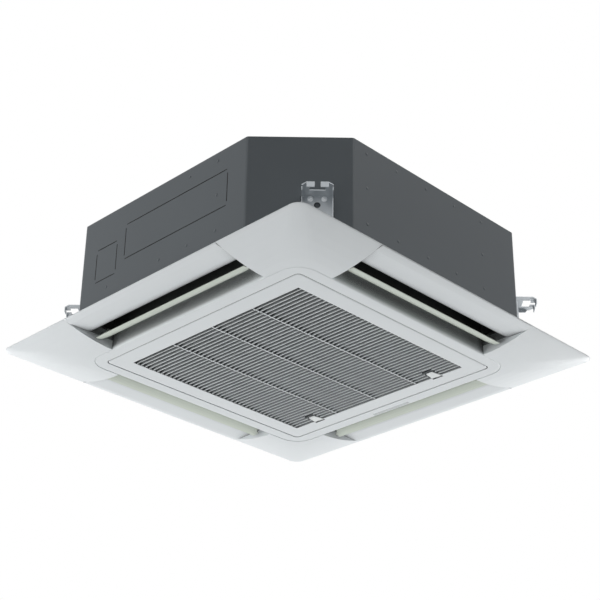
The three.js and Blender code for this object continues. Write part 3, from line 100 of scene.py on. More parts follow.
@dataclass(frozen=True)
class Finish:
    """One surface finish; colours are sRGB bytes and sizes are in metres."""

    name: str
    colour: tuple[int, int, int]
    roughness: float
    metallic: float = 0.0
    coat: float = 0.0
    pattern: Pattern = Pattern.MOULDED
    grain_size: float = 0.0012
    grain_height: float = 0.00003
    mottle: float = 0.05
    mottle_size: float = 0.16
    wear: float = 0.0
    wear_colour: tuple[int, int, int] = (170, 174, 176)
    dust: float = 0.0
    edge: float = 0.0006
    rim: float = 0.0
    # painted shade: width of the dark lines painted along the knock-out grooves
    painted_score_width: float = 0.0
    specular: float = 0.5
    # painted shade in hollows: how far round the sky is sampled, how dark, from which height up, and
    # its colour, which the knock-out lines share
    recess: float = 0.0
    painted_shade_amount: float = 0.8
    painted_shade_above: float = -1.0
    painted_shade_colour: tuple[int, int, int] = (24, 28, 26)


FINISHES = (
    # panel_plastic is cover_plastic with painted shade inside the ducts, above 3 mm
    Finish("panel_plastic", (224, 229, 231), 0.44, grain_size=0.0009, grain_height=0.00002,
           mottle=0.03, dust=0.25, edge=0.0004, rim=0.0022, recess=0.030, painted_shade_amount=0.95,
           painted_shade_above=0.003),
    Finish("cover_plastic", (224, 229, 231), 0.44, grain_size=0.0009, grain_height=0.00002,
           mottle=0.03, dust=0.25, edge=0.0003, rim=0.0022),
    # grille_plastic has painted shade between its slats
    Finish("grille_plastic", (224, 229, 231), 0.44, grain_size=0.0009, grain_height=0.00002,
           mottle=0.03, edge=0.0004, recess=0.012, painted_shade_amount=0.8),
    # vane_plastic has painted shade in the hollows of the slots
    Finish("vane_plastic", (206, 214, 203), 0.36, grain_size=0.0016, mottle=0.03, edge=0.0005,
           recess=0.030, painted_shade_amount=0.5),
    Finish("latch_plastic", (232, 236, 236), 0.38, mottle=0.03, edge=0.0005),
    Finish("receiver_plastic", (188, 194, 196), 0.16, coat=0.4, mottle=0.04, edge=0.0003),
    # casing_paint has near-black painted shade in and along the knock-out grooves
    Finish("casing_paint", (86, 92, 96), 0.42, grain_size=0.0018, grain_height=0.00005,
           mottle=0.09, mottle_size=0.3, wear=0.2, wear_colour=(150, 154, 157), dust=0.35,
           edge=0.0004, specular=0.3, painted_score_width=0.0026, recess=0.004, painted_shade_amount=0.9,
           painted_shade_colour=(10, 12, 13)),
    Finish("galvanised_steel", (176, 181, 185), 0.40, metallic=0.75, pattern=Pattern.SPANGLE,
           grain_size=0.009, mottle=0.10, wear=0.3, wear_colour=(215, 219, 222)),
    # grey_foam is dark, with painted shade in its hollows within 80 mm, standing in for the shade
    # inside the ducts
    Finish("grey_foam", (62, 66, 65), 0.9, pattern=Pattern.FOAM, grain_size=0.0045,
           grain_height=0.0004, mottle=0.08, edge=0.0015, recess=0.08),
    Finish("gasket_foam", (46, 46, 47), 0.92, pattern=Pattern.FOAM, grain_size=0.0018,
           grain_height=0.0003, mottle=0.12),
    Finish("filter_plastic", (62, 66, 69), 0.62, mottle=0.10, dust=0.15),
    Finish("filter_net", (52, 55, 58), 0.80, pattern=Pattern.NET, grain_size=0.0024,
           grain_height=0.0004, mottle=0.16, mottle_size=0.09),
    Finish("inner_steel", (150, 155, 158), 0.42, metallic=0.3, mottle=0.06, wear=0.3),
    Finish("fan_plastic", (120, 124, 126), 0.50, grain_size=0.002, mottle=0.07, dust=0.2),
    Finish("bright_steel", (205, 207, 209), 0.24, metallic=1.0, pattern=Pattern.BRUSHED,
           grain_size=0.0006, mottle=0.05),
    Finish("black_rubber", (38, 38, 39), 0.78, grain_size=0.0014, mottle=0.12),
    Finish("fin_aluminium", (190, 196, 200), 0.38, metallic=0.85, pattern=Pattern.FINS,
           grain_size=0.0018, grain_height=0.0009, mottle=0.07, edge=0.0),
    Finish("pipe_copper", (196, 124, 92), 0.30, metallic=1.0, pattern=Pattern.BRUSHED,
           grain_size=0.0012, mottle=0.16, mottle_size=0.05),
    Finish("white_plastic", (226, 227, 222), 0.40, mottle=0.04),
    Finish("board_laminate", (42, 104, 64), 0.34, coat=0.3, grain_size=0.004,
           grain_height=0.0002, mottle=0.2, mottle_size=0.012),
    Finish("nut_brass", (206, 172, 98), 0.28, metallic=1.0, pattern=Pattern.BRUSHED,
           grain_size=0.0008, mottle=0.08, wear=0.4, wear_colour=(232, 208, 150)),
    Finish("screw_zinc", (226, 229, 231), 0.34, metallic=0.7, grain_size=0.0007,
           grain_height=0.00001, mottle=0.06),
    Finish("lamp_lens", (206, 214, 205), 0.12, coat=0.6, mottle=0.04, edge=0.0),
)
# the drain pan and insulation liner are given the dark grey_foam, a dark stand-in for the shade in
# the ducts and behind the knock-outs; the corner covers take cover_plastic, free of the panel's
# painted shade
NODE_FINISHES = {
    "intake_grille": "grille_plastic", "drain_pan": "grey_foam", "insulation_liner": "grey_foam",
    "corner_cover_rear_right": "cover_plastic", "corner_cover_rear_left": "cover_plastic",
    "corner_cover_front_left": "cover_plastic", "corner_cover_front_right": "cover_plastic"}


# ------------------------------------------------------------------------ shader groups


@dataclass
class Graph:
    """A node tree with short calls for adding and joining nodes."""

    tree: bpy.types.NodeTree

    def node(self, kind: str, **values: object) -> bpy.types.Node:
        """Adds a node of a kind and sets its attributes or, by name, its input sockets."""
        made = self.tree.nodes.new(kind)
        for key, value in values.items():
            label = key.replace("_", " ").title()
            if hasattr(made, key):
                setattr(made, key, value)
            else:
                made.inputs[label].default_value = value
        return made

    def link(self, source: bpy.types.NodeSocket, target: bpy.types.NodeSocket) -> None:
        """Joins an output socket to an input socket."""
        self.tree.links.new(source, target)

    def math(self, operation: str, *operands: object) -> bpy.types.NodeSocket:
        """Adds a Math node on sockets or numbers, and returns its output."""
        made = self.tree.nodes.new("ShaderNodeMath")
        made.operation = operation
        for socket, operand in zip(made.inputs, operands):
            if isinstance(operand, (int, float)):
                socket.default_value = operand
            else:
                self.link(operand, socket)
        return made.outputs[0]

    def mix(self, share: bpy.types.NodeSocket, first: object, second: object) -> bpy.types.NodeSocket:
        """Mixes two colours, sockets or plain, by a share, and returns the colour."""
        made = self.tree.nodes.new("ShaderNodeMix")
        made.data_type = "RGBA"
        self.link(share, made.inputs["Factor"])
        for socket, colour in ((made.inputs[6], first), (made.inputs[7], second)):
            if isinstance(colour, tuple):
                socket.default_value = colour
            else:
                self.link(colour, socket)
        return made.outputs[2]


class GroupKit:
    """The shader groups, each built once and placed in every material that uses it."""

    def __init__(self) -> None:
        """Builds the groups."""
        self.mottle = self._mottle()
        self.edges = self._edges()
        self.dust = self._dust()
        # painted shade in hollows
        self.recess = self._recess()
        self.rim = self._rim()
        self.scores = self._scores()
        self.reliefs = {
            Pattern.MOULDED: self._noise_relief("MouldedRelief", 3.0, 0.55),
            Pattern.BRUSHED: self._noise_relief("BrushedRelief", 6.0, 0.7),
            Pattern.SPANGLE: self._cell_relief("SpangleRelief", "F1"),
            Pattern.FOAM: self._cell_relief("FoamRelief", "SMOOTH_F1"),
            Pattern.FINS: self._fin_relief(),
            Pattern.NET: self._net_relief(),
        }

    @staticmethod
    def _new(name: str, inputs: Sequence[str], outputs: Sequence[tuple[str, str]]) -> tuple:
        """Starts a group with float inputs and named outputs.

        Args:
            name: the group's name.
            inputs: names of the float inputs.
            outputs: pairs of a name and a socket type.

        Returns:
            The group, its graph, its input node's sockets and its output node's sockets.
        """
        group = bpy.data.node_groups.new(name, "ShaderNodeTree")
        for label in inputs:
            group.interface.new_socket(label, in_out="INPUT", socket_type="NodeSocketFloat")
        for label, kind in outputs:
            group.interface.new_socket(label, in_out="OUTPUT", socket_type=kind)
        graph = Graph(group)
        source = graph.node("NodeGroupInput")
        sink = graph.node("NodeGroupOutput")
        return group, graph, source.outputs, sink.inputs

    @staticmethod
    def _place(graph: Graph) -> bpy.types.NodeSocket:
        """Object coordinates, which are the frame's own."""
        return graph.node("ShaderNodeTexCoord").outputs["Object"]

    def _noise(self, graph: Graph, size: object, detail: float) -> bpy.types.Node:
        """Noise whose cells are a size across: scale = 1 / size."""
        noise = graph.node("ShaderNodeTexNoise", detail=detail)
        graph.link(self._place(graph), noise.inputs["Vector"])
        graph.link(graph.math("DIVIDE", 1.0, size), noise.inputs["Scale"])
        return noise

    def _mottle(self) -> bpy.types.NodeTree:
        """Shade = 1 + amount * (noise - 1/2) * 2, for a colour that drifts over a surface."""
        group, graph, given, out = self._new(
            "Mottle", ("Size", "Amount"), (("Shade", "NodeSocketFloat"),))
        noise = self._noise(graph, given["Size"], 4.0)
        drift = graph.math("SUBTRACT", noise.outputs[0], 0.5)
        spread = graph.math("MULTIPLY", graph.math("MULTIPLY", drift, 2.0), given["Amount"])
        graph.link(graph.math("ADD", spread, 1.0), out["Shade"])
        return group

    def _edges(self) -> bpy.types.NodeTree:
        """Mask = noise * (1 - bevelled normal . true normal), bright on outer edges."""
        group, graph, given, out = self._new(
            "EdgeWear", ("Radius", "Amount"), (("Mask", "NodeSocketFloat"),))
        bevel = graph.node("ShaderNodeBevel", samples=4)
        graph.link(given["Radius"], bevel.inputs["Radius"])
        dot = graph.node("ShaderNodeVectorMath", operation="DOT_PRODUCT")
        graph.link(bevel.outputs[0], dot.inputs[0])
        graph.link(graph.node("ShaderNodeNewGeometry").outputs["Normal"], dot.inputs[1])
        turn = graph.math("SUBTRACT", 1.0, dot.outputs["Value"])
        patchy = self._noise(graph, 0.02, 3.0)
        worn = graph.math("MULTIPLY", turn, graph.math("MULTIPLY", patchy.outputs[0], 6.0))
        capped = graph.math("MINIMUM", graph.math("MAXIMUM", worn, 0.0), 1.0)
        graph.link(graph.math("MULTIPLY", capped, given["Amount"]), out["Mask"])
        return group

    def _dust(self) -> bpy.types.NodeTree:
        """Mask = amount * noise * max(normal z, 0) ** 2, for dust on what faces up."""
        group, graph, given, out = self._new("Dust", ("Amount",), (("Mask", "NodeSocketFloat"),))
        split = graph.node("ShaderNodeSeparateXYZ")
        graph.link(graph.node("ShaderNodeNewGeometry").outputs["Normal"], split.inputs[0])
        up = graph.math("POWER", graph.math("MAXIMUM", split.outputs["Z"], 0.0), 2.0)
        noise = self._noise(graph, 0.05, 6.0)
        graph.link(
            graph.math("MULTIPLY", graph.math("MULTIPLY", up, noise.outputs[0]), given["Amount"]),
            out["Mask"])
        return group

    def _recess(self) -> bpy.types.NodeTree:
        """Mask of painted shade in hollows: amount * min(2 * (1 - open share of the sky near by), 1),
        above a level only.

        It comes in over 6 mm of height: min(max((z - level) / 0.006, 0), 1).
        """
        group, graph, given, out = self._new(
            "PaintedShade", ("Distance", "Amount", "Above"), (("Mask", "NodeSocketFloat"),))
        sky = graph.node("ShaderNodeAmbientOcclusion", samples=6)
        graph.link(given["Distance"], sky.inputs["Distance"])
        shut = graph.math("MULTIPLY", graph.math("SUBTRACT", 1.0, sky.outputs["AO"]), 2.0)
        split = graph.node("ShaderNodeSeparateXYZ")
        graph.link(self._place(graph), split.inputs[0])
        rise = graph.math("DIVIDE", graph.math("SUBTRACT", split.outputs["Z"], given["Above"]), 0.006)
        level = graph.math("MINIMUM", graph.math("MAXIMUM", rise, 0.0), 1.0)
        mask = graph.math("MULTIPLY", graph.math("MINIMUM", shut, 1.0), given["Amount"])
        graph.link(graph.math("MULTIPLY", mask, level), out["Mask"])
        return group

    def _scores(self) -> bpy.types.NodeTree:
        """Mask of painted shade along the stamped lines round each knock-out of the front wall.

        With u = |x - middle| and v = |z - middle|, a line is where u is within its half width of
        half the knock-out and v is short of its corners, or the other way about.
        """
        group, graph, given, out = self._new(
            "PaintedScoreShade", ("Width", "Amount"), (("Mask", "NodeSocketFloat"),))
        split = graph.node("ShaderNodeSeparateXYZ")
        graph.link(self._place(graph), split.inputs[0])
        mask = 0.0
        for left, right, low, high in KNOCKOUTS:
            u = graph.math("ABSOLUTE", graph.math("SUBTRACT", split.outputs["X"], (left + right) / 2))
            v = graph.math("ABSOLUTE", graph.math("SUBTRACT", split.outputs["Z"], (low + high) / 2))
            wide, tall = (right - left) / 2, (high - low) / 2
            upright = graph.math("MULTIPLY", self._near(graph, u, wide, given["Width"]),
                                 graph.math("LESS_THAN", v, tall - SCORE_BRIDGE))
            level = graph.math("MULTIPLY", self._near(graph, v, tall, given["Width"]),
                               graph.math("LESS_THAN", u, wide - 0.002))
            mask = graph.math("MAXIMUM", mask, graph.math("MAXIMUM", upright, level))
        wall = graph.math("LESS_THAN", split.outputs["Y"], 0.0015 - CASING_HALF)
        graph.link(graph.math("MULTIPLY", graph.math("MULTIPLY", mask, wall), given["Amount"]),
                   out["Mask"])
        return group

    @staticmethod
    def _near(graph: Graph, value: bpy.types.NodeSocket, place: float,
              width: bpy.types.NodeSocket) -> bpy.types.NodeSocket:
        """One where a value is within half a width of a place, else nought."""
        off = graph.math("ABSOLUTE", graph.math("SUBTRACT", value, place))
        return graph.math("LESS_THAN", off, graph.math("MULTIPLY", width, 0.5))

    def _rim(self) -> bpy.types.NodeTree:
        """Radius of an edge: wide where d = max(|x|, |y|) is at the plateau's edge or the rim."""
        group, graph, given, out = self._new(
            "PanelRim", ("Edge", "Rim"), (("Radius", "NodeSocketFloat"),))
        split = graph.node("ShaderNodeSeparateXYZ")
        graph.link(self._place(graph), split.inputs[0])
        reach = graph.math("MAXIMUM", graph.math("ABSOLUTE", split.outputs["X"]),
                           graph.math("ABSOLUTE", split.outputs["Y"]))
        at_rim = graph.math("GREATER_THAN", reach, RIM_FROM)
        at_plateau = graph.math("COMPARE", reach, PLATEAU_EDGE, 0.004)
        share = graph.math("ADD", at_rim, graph.math("MULTIPLY", at_plateau, 0.6))
        graph.link(graph.math("ADD", graph.math("MULTIPLY", share, given["Rim"]), given["Edge"]),
                   out["Radius"])
        return group

    def _noise_relief(self, name: str, detail: float, contrast: float) -> bpy.types.NodeTree:
        """Height = contrast * noise of a size, for a moulded or drawn surface."""
        group, graph, given, out = self._new(name, ("Size",), (("Height", "NodeSocketFloat"),))
        noise = self._noise(graph, given["Size"], detail)
        graph.link(graph.math("MULTIPLY", noise.outputs[0], contrast), out["Height"])
        return group

    def _cell_relief(self, name: str, feature: str) -> bpy.types.NodeTree:
        """Height = 1 - distance to the nearest of scattered cells, for beads or crystals."""
        group, graph, given, out = self._new(name, ("Size",), (("Height", "NodeSocketFloat"),))
        cells = graph.node("ShaderNodeTexVoronoi", feature=feature)
        graph.link(self._place(graph), cells.inputs["Vector"])
        graph.link(graph.math("DIVIDE", 1.0, given["Size"]), cells.inputs["Scale"])
        graph.link(graph.math("SUBTRACT", 1.0, cells.outputs["Distance"]), out["Height"])
        return group

    def _fin_relief(self) -> bpy.types.NodeTree:
        """Height = |sin(pi * (|x| - |y|) / size)|, upright fins round a square coil."""
        group, graph, given, out = self._new(
            "FinRelief", ("Size",), (("Height", "NodeSocketFloat"),))
        split = graph.node("ShaderNodeSeparateXYZ")
        graph.link(self._place(graph), split.inputs[0])
        across = graph.math("SUBTRACT", graph.math("ABSOLUTE", split.outputs["X"]),
                            graph.math("ABSOLUTE", split.outputs["Y"]))
        phase = graph.math("DIVIDE", graph.math("MULTIPLY", across, math.pi), given["Size"])
        graph.link(graph.math("ABSOLUTE", graph.math("SINE", phase)), out["Height"])
        return group

    def _net_relief(self) -> bpy.types.NodeTree:
        """Height = max(|cos(pi x / size)|, |cos(pi y / size)|) ** 4, threads of a woven net."""
        group, graph, given, out = self._new(
            "NetRelief", ("Size",), (("Height", "NodeSocketFloat"),))
        split = graph.node("ShaderNodeSeparateXYZ")
        graph.link(self._place(graph), split.inputs[0])
        waves = []
        for axis in ("X", "Y"):
            phase = graph.math("DIVIDE", graph.math("MULTIPLY", split.outputs[axis], math.pi),
                               given["Size"])
            waves.append(graph.math("ABSOLUTE", graph.math("COSINE", phase)))
        graph.link(graph.math("POWER", graph.math("MAXIMUM", *waves), 4.0), out["Height"])
        return group


class FinishShop:
    """Makes a material of each finish and hands it out by name."""

    def __init__(self, kit: GroupKit, finishes: Sequence[Finish]) -> None:
        """Builds every finish's material from the shared groups."""
        self.kit = kit
        self.materials = {finish.name: self._material(finish) for finish in finishes}

    def _group(self, graph: Graph, group: bpy.types.NodeTree, **values: float) -> bpy.types.Node:
        """Places a shared group with its own input values."""
        node = graph.node("ShaderNodeGroup")
        node.node_tree = group
        for label, value in values.items():
            node.inputs[label].default_value = value
        return node

    def _colour(self, graph: Graph, finish: Finish) -> bpy.types.NodeSocket:
        """Colour that drifts, is paler on worn edges and greyer under dust, with painted shade along
        the knock-out lines and in hollows.
        """
        drift = self._group(graph, self.kit.mottle, Size=finish.mottle_size, Amount=finish.mottle)
        tint = graph.node("ShaderNodeVectorMath", operation="SCALE")
        tint.inputs[0].default_value = linear(finish.colour)[:3]
        graph.link(drift.outputs["Shade"], tint.inputs["Scale"])
        colour = tint.outputs[0]
        if finish.wear:
            worn = self._group(graph, self.kit.edges, Radius=max(finish.edge, 0.0004) * 1.5,
                               Amount=finish.wear)
            colour = graph.mix(worn.outputs["Mask"], colour, linear(finish.wear_colour))
        if finish.dust:
            dust = self._group(graph, self.kit.dust, Amount=finish.dust)
            colour = graph.mix(dust.outputs["Mask"], colour, linear(DUST_COLOUR))
        # painted shade along the knock-out grooves
        if finish.painted_score_width:
            lines = self._group(graph, self.kit.scores, Width=finish.painted_score_width, Amount=1.0)
            colour = graph.mix(lines.outputs["Mask"], colour, linear(finish.painted_shade_colour))
        # painted shade in hollows, the darker the less sky they see
        if finish.recess:
            shut = self._group(graph, self.kit.recess, Distance=finish.recess,
                               Amount=finish.painted_shade_amount, Above=finish.painted_shade_above)
            colour = graph.mix(shut.outputs["Mask"], colour, linear(finish.painted_shade_colour))
        return colour

    def _material(self, finish: Finish) -> bpy.types.Material:
        """The material of one finish.

        Args:
            finish: its colours, relief and sizes.

        Returns:
            A material whose roughness is the finish's with +-10% from the relief.
        """
        material = bpy.data.materials.new(finish.name)
        material.use_nodes = True
        graph = Graph(material.node_tree)
        shader = material.node_tree.nodes["Principled BSDF"]
        shader.inputs["Metallic"].default_value = finish.metallic
        shader.inputs["Coat Weight"].default_value = finish.coat
        shader.inputs["Specular IOR Level"].default_value = finish.specular
        graph.link(self._colour(graph, finish), shader.inputs["Base Color"])
        relief = self._group(graph, self.kit.reliefs[finish.pattern], Size=finish.grain_size)
        height = relief.outputs["Height"]
        swing = graph.math("MULTIPLY", graph.math("SUBTRACT", height, 0.5), finish.roughness * 0.25)
        graph.link(graph.math("ADD", swing, finish.roughness), shader.inputs["Roughness"])
        bump = graph.node("ShaderNodeBump")
        bump.inputs["Strength"].default_value = 0.6
        bump.inputs["Distance"].default_value = finish.grain_height
        graph.link(height, bump.inputs["Height"])
        if finish.edge:
            bevel = graph.node("ShaderNodeBevel", samples=4)
            bevel.inputs["Radius"].default_value = finish.edge
            if finish.rim:
                rim = self._group(graph, self.kit.rim, Edge=finish.edge, Rim=finish.rim)
                graph.link(rim.outputs["Radius"], bevel.inputs["Radius"])
            graph.link(bevel.outputs[0], bump.inputs["Normal"])
        graph.link(bump.outputs[0], shader.inputs["Normal"])
        return material

    def dress_nodes(self, nodes: dict[str, bpy.types.Object]) -> int:
        """Gives each CAD node its own finish or its record slot's, and counts the nodes."""
        for name, node in nodes.items():
            slot = node.data.materials[0].name.split(".")[0]
            node.data.materials[0] = self.materials[NODE_FINISHES.get(name, slot)]
        return len(nodes)


# ------------------------------------------------------------------------ mesh building


@dataclass(frozen=True)
class Seat:
    """Where a small piece sits: a point, the way that it faces, and a way across it."""

    point: tuple[float, float, float]
    out: tuple[float, float, float]
    across: tuple[float, float, float]

    def axes(self) -> np.ndarray:
        """Rows across, out x across and out, a right-handed set of unit axes."""
        out = np.array(self.out, float) / np.linalg.norm(self.out)
        across = np.array(self.across, float)
        across -= out * (across @ out)
        across /= np.linalg.norm(across)
        return np.array([across, np.cross(out, across), out])


@dataclass
class Shell:
    """Points of a surface, its four-sided faces and its three-sided ones."""

    points: np.ndarray
    quads: np.ndarray
    triangles: np.ndarray

    def placed(self, seats: Sequence[Seat]) -> "Shell":
        """Copies of the shell on every seat: p' = point + p @ axes."""
        points = np.concatenate([self.points @ seat.axes() + seat.point for seat in seats])
        shift = np.arange(len(seats))[:, None, None] * len(self.points)
        return Shell(points, (self.quads + shift).reshape(-1, 4),
                     (self.triangles + shift).reshape(-1, 3))

    def faces(self) -> list[list[int]]:
        """The quads and then the triangles, as lists of point indices."""
        return self.quads.tolist() + self.triangles.tolist()


def wrapped(rings: np.ndarray, first: Sequence[float], last: Sequence[float]) -> Shell:
    """A closed surface over rings of points that run round it, with a pole at each end.

    Args:
        rings: array of rings x points x 3, turning to the left as seen from the last pole.
        first: the pole before the first ring.
        last: the pole after the last ring.

    Returns:
        The shell, its faces pointing outwards.
    """
    count, sides = rings.shape[:2]
    here = np.arange(sides)
    following = np.roll(here, -1)
    start = np.arange(count - 1)[:, None] * sides
    quads = np.stack([start + here, start + following, start + sides + following,
                      start + sides + here], axis=2).reshape(-1, 4)
    poles = count * sides + np.array([0, 1])
    end = (count - 1) * sides
    caps = np.concatenate([
        np.stack([np.full(sides, poles[0]), following, here], axis=1),
        np.stack([np.full(sides, poles[1]), end + here, end + following], axis=1)])
    points = np.concatenate([rings.reshape(-1, 3), [first, last]])
    return Shell(points, quads, caps)


def turned(profile: Sequence[tuple[float, float]], steps: int = 16, sides: int = 0,
           flat_rings: Sequence[int] = ()) -> Shell:
    """A closed profile turned about its axis, its first and last points on the axis.

    A ring's point is (r cos a, r sin a, z). On a flat ring r is scaled by
    cos(pi / n) / cos(((a + pi / n) mod 2 pi / n) - pi / n), which makes it an n-sided prism.

    Args:
        profile: pairs of radius and height, from the bottom pole to the top pole.
        steps: points round a ring.
        sides: number of sides of the flat rings.
        flat_rings: indices of the rings that are prisms.

    Returns:
        The shell, its faces pointing outwards.
    """
    radius, height = np.array(profile[1:-1]).T
    angle = np.linspace(0, 2 * math.pi, steps, endpoint=False)
    scale = np.ones((len(radius), steps))
    if sides:
        half = math.pi / sides
        scale[list(flat_rings)] = math.cos(half) / np.cos(np.mod(angle + half, 2 * half) - half)
    reach = radius[:, None] * scale
    rings = np.stack([reach * np.cos(angle), reach * np.sin(angle),
                      np.repeat(height[:, None], steps, axis=1)], axis=2)
    return wrapped(rings, (0, 0, profile[0][1]), (0, 0, profile[-1][1]))


def sheet(points: np.ndarray) -> Shell:
    """An open sheet over a grid of points, rows x columns x 3, its quads row by row."""
    rows, columns = points.shape[:2]
    corner = (np.arange(rows - 1)[:, None] * columns + np.arange(columns - 1)).ravel()
    quads = np.stack([corner, corner + 1, corner + columns + 1, corner + columns], axis=1)
    return Shell(points.reshape(-1, 3), quads, np.empty((0, 3), int))


class Bench:
    """Turns shells into objects that ride on the frame's bodies."""

    def __init__(self, shop: FinishShop) -> None:
        """Keeps the finishes and the list of pieces made."""
        self.shop = shop
        self.made: list[str] = []

    def add(self, name: str, shell: Shell, finish: str, body: str = "root",
            slot: str | None = None, smooth: bool = False, thickness: float = 0.0
            ) -> bpy.types.Object:
        """Makes an object of a shell.

        Args:
            name: the piece's name.
            shell: its points and faces, in the frame's axes.
            finish: the name of its finish.
            body: the body that it rides on.
            slot: the record's material slot, if it has one; not used.
            smooth: whether its faces are shaded smooth.
            thickness: wall added to an open sheet, in metres.

        Returns:
            The object, at the origin.
        """
        mesh = bpy.data.meshes.new(name)
        faces = shell.faces()
        mesh.from_pydata(shell.points.tolist(), [], faces)
        mesh.materials.append(self.shop.materials[finish])
        if smooth:
            mesh.shade_smooth()
        piece = bpy.data.objects.new(name, mesh)
        bpy.context.scene.collection.objects.link(piece)
        if thickness:
            wall = piece.modifiers.new("wall", "SOLIDIFY")
            wall.thickness = thickness
            wall.offset = 0
        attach(piece, body)
        self.made.append(name)
        LOG.info("%s: %d faces on %s", name, len(faces), body)
        return piece


def capsule(length: float, width: float, height: float, steps: int = 9, sides: int = 8) -> Shell:
    """A long bead about x: (l/2 sin u, w/2 c cos v, h c sin v) with c = (1 - sin(u)^8)^(1/8).

    Args:
        length: along x.
        width: along y.
        height: half its depth, along z.
        steps: rings between the two poles.
        sides: points round a ring.

    Returns:
        The closed bead.
    """
    along = np.sin(np.linspace(-math.pi / 2, math.pi / 2, steps + 2)[1:-1])
    waist = (1 - along ** 8) ** (1 / 8)
    around = np.linspace(0, 2 * math.pi, sides, endpoint=False)
    rings = np.stack([
        np.repeat(along[:, None] * length / 2, sides, axis=1),
        waist[:, None] * np.cos(around) * width / 2,
        waist[:, None] * np.sin(around) * height], axis=2)
    return wrapped(rings, (-length / 2, 0, 0), (length / 2, 0, 0))


def pan_head(radius: float, height: float) -> Shell:
    """A pan head for a driver: a flat dome over a short cylinder, with a sunk middle."""
    return turned([
        (0, 0), (radius, 0), (radius, height * 0.2), (radius * 0.93, height * 0.62),
        (radius * 0.7, height * 0.93), (radius * 0.34, height), (radius * 0.28, height * 0.5),
        (0, height * 0.45),
    ], steps=12)


def hex_head(radius: float, height: float) -> Shell:
    """A six-sided head on a round washer flange."""
    return turned([
        (0, 0), (radius, 0), (radius * 0.97, height * 0.2), (radius * 0.68, height * 0.25),
        (radius * 0.66, height * 0.94), (radius * 0.5, height), (0, height),
    ], steps=24, sides=6, flat_rings=(2, 3))


# ------------------------------------------------------------------------ sub-assemblies


@dataclass
class Casing:
    """Pressed dimples and screws of the sheet casing."""

    dimple_radius: float = 3.6 * MM
    dimple_height: float = 0.9 * MM
    dimple_rows: tuple[float, ...] = (75 * MM, 160 * MM, 243 * MM)
    front_start: float = 178 * MM
    front_pitch: float = -88 * MM
    front_columns: tuple[tuple[int, ...], ...] = ((0, 1, 2, 4), (0,), (0, 1))
    right_start: float = -226 * MM
    right_pitch: float = 94 * MM
    right_columns: tuple[tuple[int, ...], ...] = ((0, 1, 2, 3, 4), (0, 4), (0, 1, 2, 3, 4))
    top_screws: int = 4
    top_sheet_drop: float = 1.6 * MM
    screw_inset: float = 10 * MM
    screw_end: float = 18 * MM

    def _wall_seats(self) -> list[Seat]:
        """Seats of the dimples in rows, the rear and left walls as the other two turned."""
        seats = []
        for row, fronts, rights in zip(self.dimple_rows, self.front_columns, self.right_columns):
            z = row + CEILING
            for x in (self.front_start + k * self.front_pitch for k in fronts):
                seats.append(Seat((x, -CASING_HALF, z), (0, -1, 0), (1, 0, 0)))
                seats.append(Seat((-x, CASING_HALF, z), (0, 1, 0), (1, 0, 0)))
            for y in (self.right_start + k * self.right_pitch for k in rights):
                seats.append(Seat((CASING_HALF, y, z), (1, 0, 0), (0, 1, 0)))
                seats.append(Seat((-CASING_HALF, -y, z), (-1, 0, 0), (0, 1, 0)))
        return seats

    def dimples(self, bench: Bench) -> None:
        """Low pressed buttons on the side walls: z = h cos(pi r / 2 R)."""
        share = np.linspace(1, 0, 6)
        profile = np.stack([self.dimple_radius * share,
                            self.dimple_height * np.cos(math.pi * share / 2)], axis=1)
        button = turned([(0, 0), *profile.tolist()], steps=14)
        bench.add("casing_dimples", button.placed(self._wall_seats()), "casing_paint",
                  slot="casing_paint", smooth=True)

    def top_fasteners(self, bench: Bench) -> None:
        """Pan-head screws that hold the top plate to the rim of the casing."""
        _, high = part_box("top_plate")
        sheet_top = high.z - self.top_sheet_drop
        reach = CASING_HALF - CHAMFER_LEG - self.screw_end
        places = np.linspace(-reach, reach, self.top_screws)
        edge = CASING_HALF - self.screw_inset
        seats = []
        for place in places:
            for x, y in ((place, edge), (place, -edge), (edge, place), (-edge, place)):
                seats.append(Seat((x, y, sheet_top), (0, 0, 1), (1, 0, 0)))
        bench.add("top_plate_screws", pan_head(3.6 * MM, 1.6 * MM).placed(seats), "screw_zinc",
                  slot="bright_steel", smooth=True)


@dataclass
class Hangers:
    """Screws on the four hanger brackets."""

    rod_x: float = 0.390
    rod_y: float = 0.340
    screw_offset: float = 14 * MM
    screw_radius: float = 6.2 * MM
    screw_height: float = 5 * MM
    screw_drop: float = 8 * MM
    back_face: float = 2.3 * MM
    corners: tuple[tuple[str, int, int], ...] = (
        ("rear_right", 1, 1), ("rear_left", -1, 1), ("front_left", -1, -1), ("front_right", 1, -1))

    def _seats(self, name: str, sign_x: int, sign_y: int) -> list[Seat]:
        """The two screw seats on the face of one bracket's back, just outside the chamfer.

        Args:
            name: the corner's name.
            sign_x: which side of the middle the bracket is on, along x.
            sign_y: the same along y.

        Returns:
            Two seats, each facing out from the chamfer.
        """
        _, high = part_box("hanger_bracket_" + name)
        out = np.array([sign_x, sign_y]) * DIAGONAL
        along = np.array([sign_x, -sign_y]) * DIAGONAL
        reach = CHAMFER_REACH + self.back_face
        middle = (self.rod_x - self.rod_y) * DIAGONAL
        seats = []
        for side in (-1, 1):
            point = out * reach + along * (middle + side * self.screw_offset)
            seats.append(Seat((*point, high.z - self.screw_drop), (*out, 0), (0, 0, 1)))
        return seats

    def screws(self, bench: Bench) -> None:
        """Hex-head screws, two on each bracket."""
        seats = [seat for corner in self.corners for seat in self._seats(*corner)]
        bench.add("bracket_screws", hex_head(self.screw_radius, self.screw_height).placed(seats),
                  "screw_zinc", slot="bright_steel")


